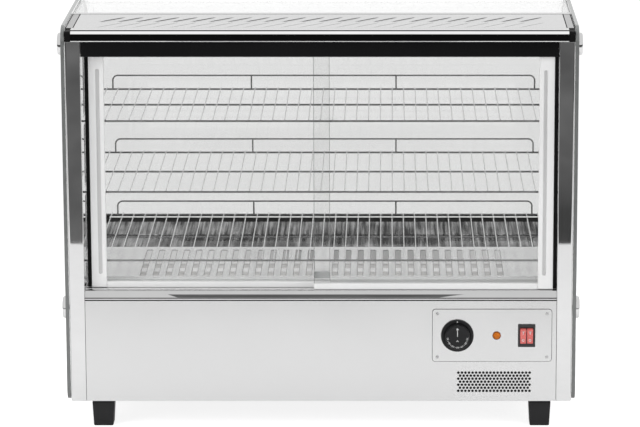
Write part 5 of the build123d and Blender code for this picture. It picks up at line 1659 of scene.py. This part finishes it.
class CASE_OT_stage(bpy.types.Operator):
    """Pale floor, plain soft light, the surroundings that the metal mirrors, and the camera"""

    bl_idname = "display_case.stage"
    bl_label = "Stage"

    def execute(self, context):
        stage = context.scene.case_stage
        self.make_floor(stage)
        self.make_far_floor(stage)
        self.make_flag()
        self.make_world(context)
        self.make_lamps()
        self.make_camera(context, stage)
        return {"FINISHED"}

    def flat_sheet(self, name, corners, finish):
        """One flat sheet of the stage, through four corners."""
        mesh = bpy.data.meshes.new(name)
        mesh.from_pydata(corners, [], [[0, 1, 2, 3]])
        mesh.materials.append(finish)
        made = bpy.data.objects.new(name, mesh)
        bpy.context.scene.collection.objects.link(made)
        return made

    def end_for_mirrors(self, tree, colour, strength):
        """Ends the tree with a glow that only mirrors see, while every other ray passes."""
        path = add_node(tree, "ShaderNodeLightPath")
        passing = add_node(tree, "ShaderNodeBsdfTransparent")
        glow = add_node(tree, "ShaderNodeEmission", {"Color": colour, "Strength": strength})
        end_with(tree, mixed_shader(tree, path.outputs["Is Glossy Ray"], passing.outputs["BSDF"],
                                    glow.outputs["Emission"]))

    def make_floor(self, stage):
        """One flat sheet: its diffuse face keeps the shadow, what the camera and glass see is lifted to
        white, and mirrors see a plain glow."""
        near, far, aside = front - stage.floor_reach, 4.5, 3.2
        made, tree = new_finish("floor paper")
        paper = grain(tree, 40.0)
        colour = tinted(tree, paper, grey(0.74), grey(0.77))
        shade = add_node(tree, "ShaderNodeBsdfDiffuse", {"Color": colour})
        path = add_node(tree, "ShaderNodeLightPath")
        seen = computed(tree, "MAXIMUM", path.outputs["Is Camera Ray"], path.outputs["Is Transmission Ray"])
        in_mirror = computed(tree, "MULTIPLY", path.outputs["Is Glossy Ray"], 0.5)
        along = coordinate(tree, "Y")
        far_lift = spread(tree, along, 0.0, 0.30, 1.5, 4.4)
        near_lift = spread(tree, along, 0.82, 0.37, 0.3, 0.9)
        lift = computed(tree, "ADD", near_lift, far_lift)
        strength = computed(tree, "MULTIPLY_ADD", seen, lift, in_mirror)
        glow = add_node(tree, "ShaderNodeEmission", {"Color": (1, 1, 1, 1), "Strength": strength})
        both = add_node(tree, "ShaderNodeAddShader", {0: shade.outputs["BSDF"], 1: glow.outputs["Emission"]})
        end_with(tree, both.outputs["Shader"])
        corners = [(-aside, near, 0), (aside, near, 0), (aside, far, 0), (-aside, far, 0)]
        floor = self.flat_sheet("pale_floor", corners, made)

    def make_far_floor(self, stage):
        """Dim studio floor beyond the pale sheet. It gives the polished posts their grey, which deepens
        beside the right post."""
        near, far, aside = front - stage.floor_reach, front - stage.floor_reach - 2.57, 3.2
        made, tree = new_finish("studio floor")
        right = spread(tree, coordinate(tree, "X"), 0.0, 1.0, 0.1, 0.45)
        close = spread(tree, coordinate(tree, "Y"), 0.0, 1.0, -2.35, -2.0)
        corner = computed(tree, "MULTIPLY", right, close)
        level = spread(tree, grain(tree, 1.6, (1.6, 1, 1), 3.0), 0.13, 0.23)
        shaded = add_node(tree, "ShaderNodeMix", {0: corner, 2: level, 3: 0.08}, data_type="FLOAT")
        self.end_for_mirrors(tree, (1, 1, 1, 1), shaded.outputs[0])
        corners = [(-aside, far, 0), (aside, far, 0), (aside, near, 0), (-aside, near, 0)]
        floor = self.flat_sheet("far_floor", corners, made)

    def make_flag(self):
        """Dark flag of the studio, upright in front of the sill. It draws the long dark lens on the sill's
        rounded nose."""
        plane, foot, head = front - 0.36, 0.231, 0.453
        made, tree = new_finish("flag cloth")
        self.end_for_mirrors(tree, tinted(tree, grain(tree, 9.0), grey(0.15), grey(0.22)), 1.0)
        corners = [(-0.262, plane, foot), (0.205, plane, foot), (0.25, plane, head), (-0.283, plane, head)]
        flag = self.flat_sheet("black_flag", corners, made)

    def make_world(self, context):
        """White for the camera. Mirrors see a white studio whose floor in front of the case is near black, by
        the direction that they look in; every other ray meets a plain pale sky."""
        white = (1, 1, 1, 1)
        world = bpy.data.worlds.new("studio")
        context.scene.world = world
        world.use_nodes = True
        tree = world.node_tree
        tree.nodes.clear()
        up, back = (coordinate(tree, axis, "Generated") for axis in "ZY")
        upwards = spread(tree, up, 0.0, 1.0, -0.05, 0.02, interpolation_type="SMOOTHSTEP")
        backwards = spread(tree, back, 0.0, 1.0, -0.1, 0.1, interpolation_type="SMOOTHSTEP")
        pale = computed(tree, "MAXIMUM", upwards, backwards)
        room = add_node(tree, "ShaderNodeMix", {0: pale, 2: 0.005, 3: 1.0}, data_type="FLOAT")
        path = add_node(tree, "ShaderNodeLightPath")
        mirrored_room, sky, behind = (
            add_node(tree, "ShaderNodeBackground", {"Color": white, "Strength": strength}).outputs[0]
            for strength in (room.outputs[0], 0.55, 1.0))
        unseen = mixed_shader(tree, path.outputs["Is Glossy Ray"], sky, mirrored_room)
        shown = mixed_shader(tree, path.outputs["Is Camera Ray"], unseen, behind)
        add_node(tree, "ShaderNodeOutputWorld", {"Surface": shown})

    def make_lamps(self):
        """A large soft box overhead and two weaker fills, each turned to the middle of the case."""
        target = Vector((0, 0.05, 0.35))
        for name, place, width, depth, power in (
            ("overhead_box", (0.0, 0.25, 2.6), 2.6, 1.5, 34.0),
            ("left_fill", (-2.6, -2.2, 1.7), 1.2, 1.6, 28.0),
            ("right_fill", (2.9, -1.8, 1.9), 1.2, 1.6, 25.0),
        ):
            light = bpy.data.lights.new(name, "AREA")
            light.shape = "RECTANGLE"
            light.size, light.size_y = width, depth
            light.energy = power
            lamp = bpy.data.objects.new(name, light)
            lamp.location = place
            lamp.visible_glossy = False
            lamp.rotation_euler = (target - Vector(place)).to_track_quat("-Z", "Y").to_euler()
            bpy.context.scene.collection.objects.link(lamp)

    def make_camera(self, context, stage):
        data = bpy.data.cameras.new("picture")
        data.lens = stage.lens
        data.sensor_width = 36.0
        data.shift_x = stage.camera_shift
        data.clip_start, data.clip_end = 0.1, 60.0
        camera = bpy.data.objects.new("picture", data)
        camera.location = (stage.camera_aside, front - stage.camera_distance, stage.camera_height)
        camera.rotation_euler = (pi / 2 - stage.camera_dip, 0, 0)
        context.scene.collection.objects.link(camera)
        context.scene.camera = camera
        context.scene.view_settings.view_transform = "Standard"


pieces = (
    CASE_OT_side_glasses, CASE_OT_curved_glass, CASE_OT_glass_caps, CASE_OT_corner_posts,
    CASE_OT_front_sill, CASE_OT_base_panel, CASE_OT_decks, CASE_OT_glass_seat, CASE_OT_top_beam,
    CASE_OT_side_rails, CASE_OT_top_cover, CASE_OT_shelves, CASE_OT_doors, CASE_OT_control_plate,
    CASE_OT_thermostat, CASE_OT_indicator, CASE_OT_switch, CASE_OT_feet, CASE_OT_frame_finishes,
    CASE_OT_stage,
)


class CASE_PT_sidebar(bpy.types.Panel):
    """Lists the case's settings and the operators that make its pieces."""

    bl_idname = "CASE_PT_sidebar"
    bl_label = "Display case"
    bl_space_type = "VIEW_3D"
    bl_region_type = "UI"
    bl_category = "Display case"

    def draw(self, context):
        layout = self.layout
        for group in (context.scene.case_sizes, context.scene.case_colours, context.scene.case_stage):
            box = layout.box()
            for key in group.__annotations__:
                box.prop(group, key)
        for piece in pieces:
            layout.operator(piece.bl_idname)


classes = (CaseSizes, CaseColours, StageSettings, *pieces, CASE_PT_sidebar)


def register():
    for each in classes:
        bpy.utils.register_class(each)
    bpy.types.Scene.case_sizes = PointerProperty(type=CaseSizes)
    bpy.types.Scene.case_colours = PointerProperty(type=CaseColours)
    bpy.types.Scene.case_stage = PointerProperty(type=StageSettings)


def unregister():
    del bpy.types.Scene.case_stage
    del bpy.types.Scene.case_colours
    del bpy.types.Scene.case_sizes
    for each in reversed(classes):
        bpy.utils.unregister_class(each)


def main():
    register()
    for piece in pieces:
        group, name = piece.bl_idname.split(".")
        getattr(getattr(bpy.ops, group), name)()


if __name__ == "__main__":
    main()
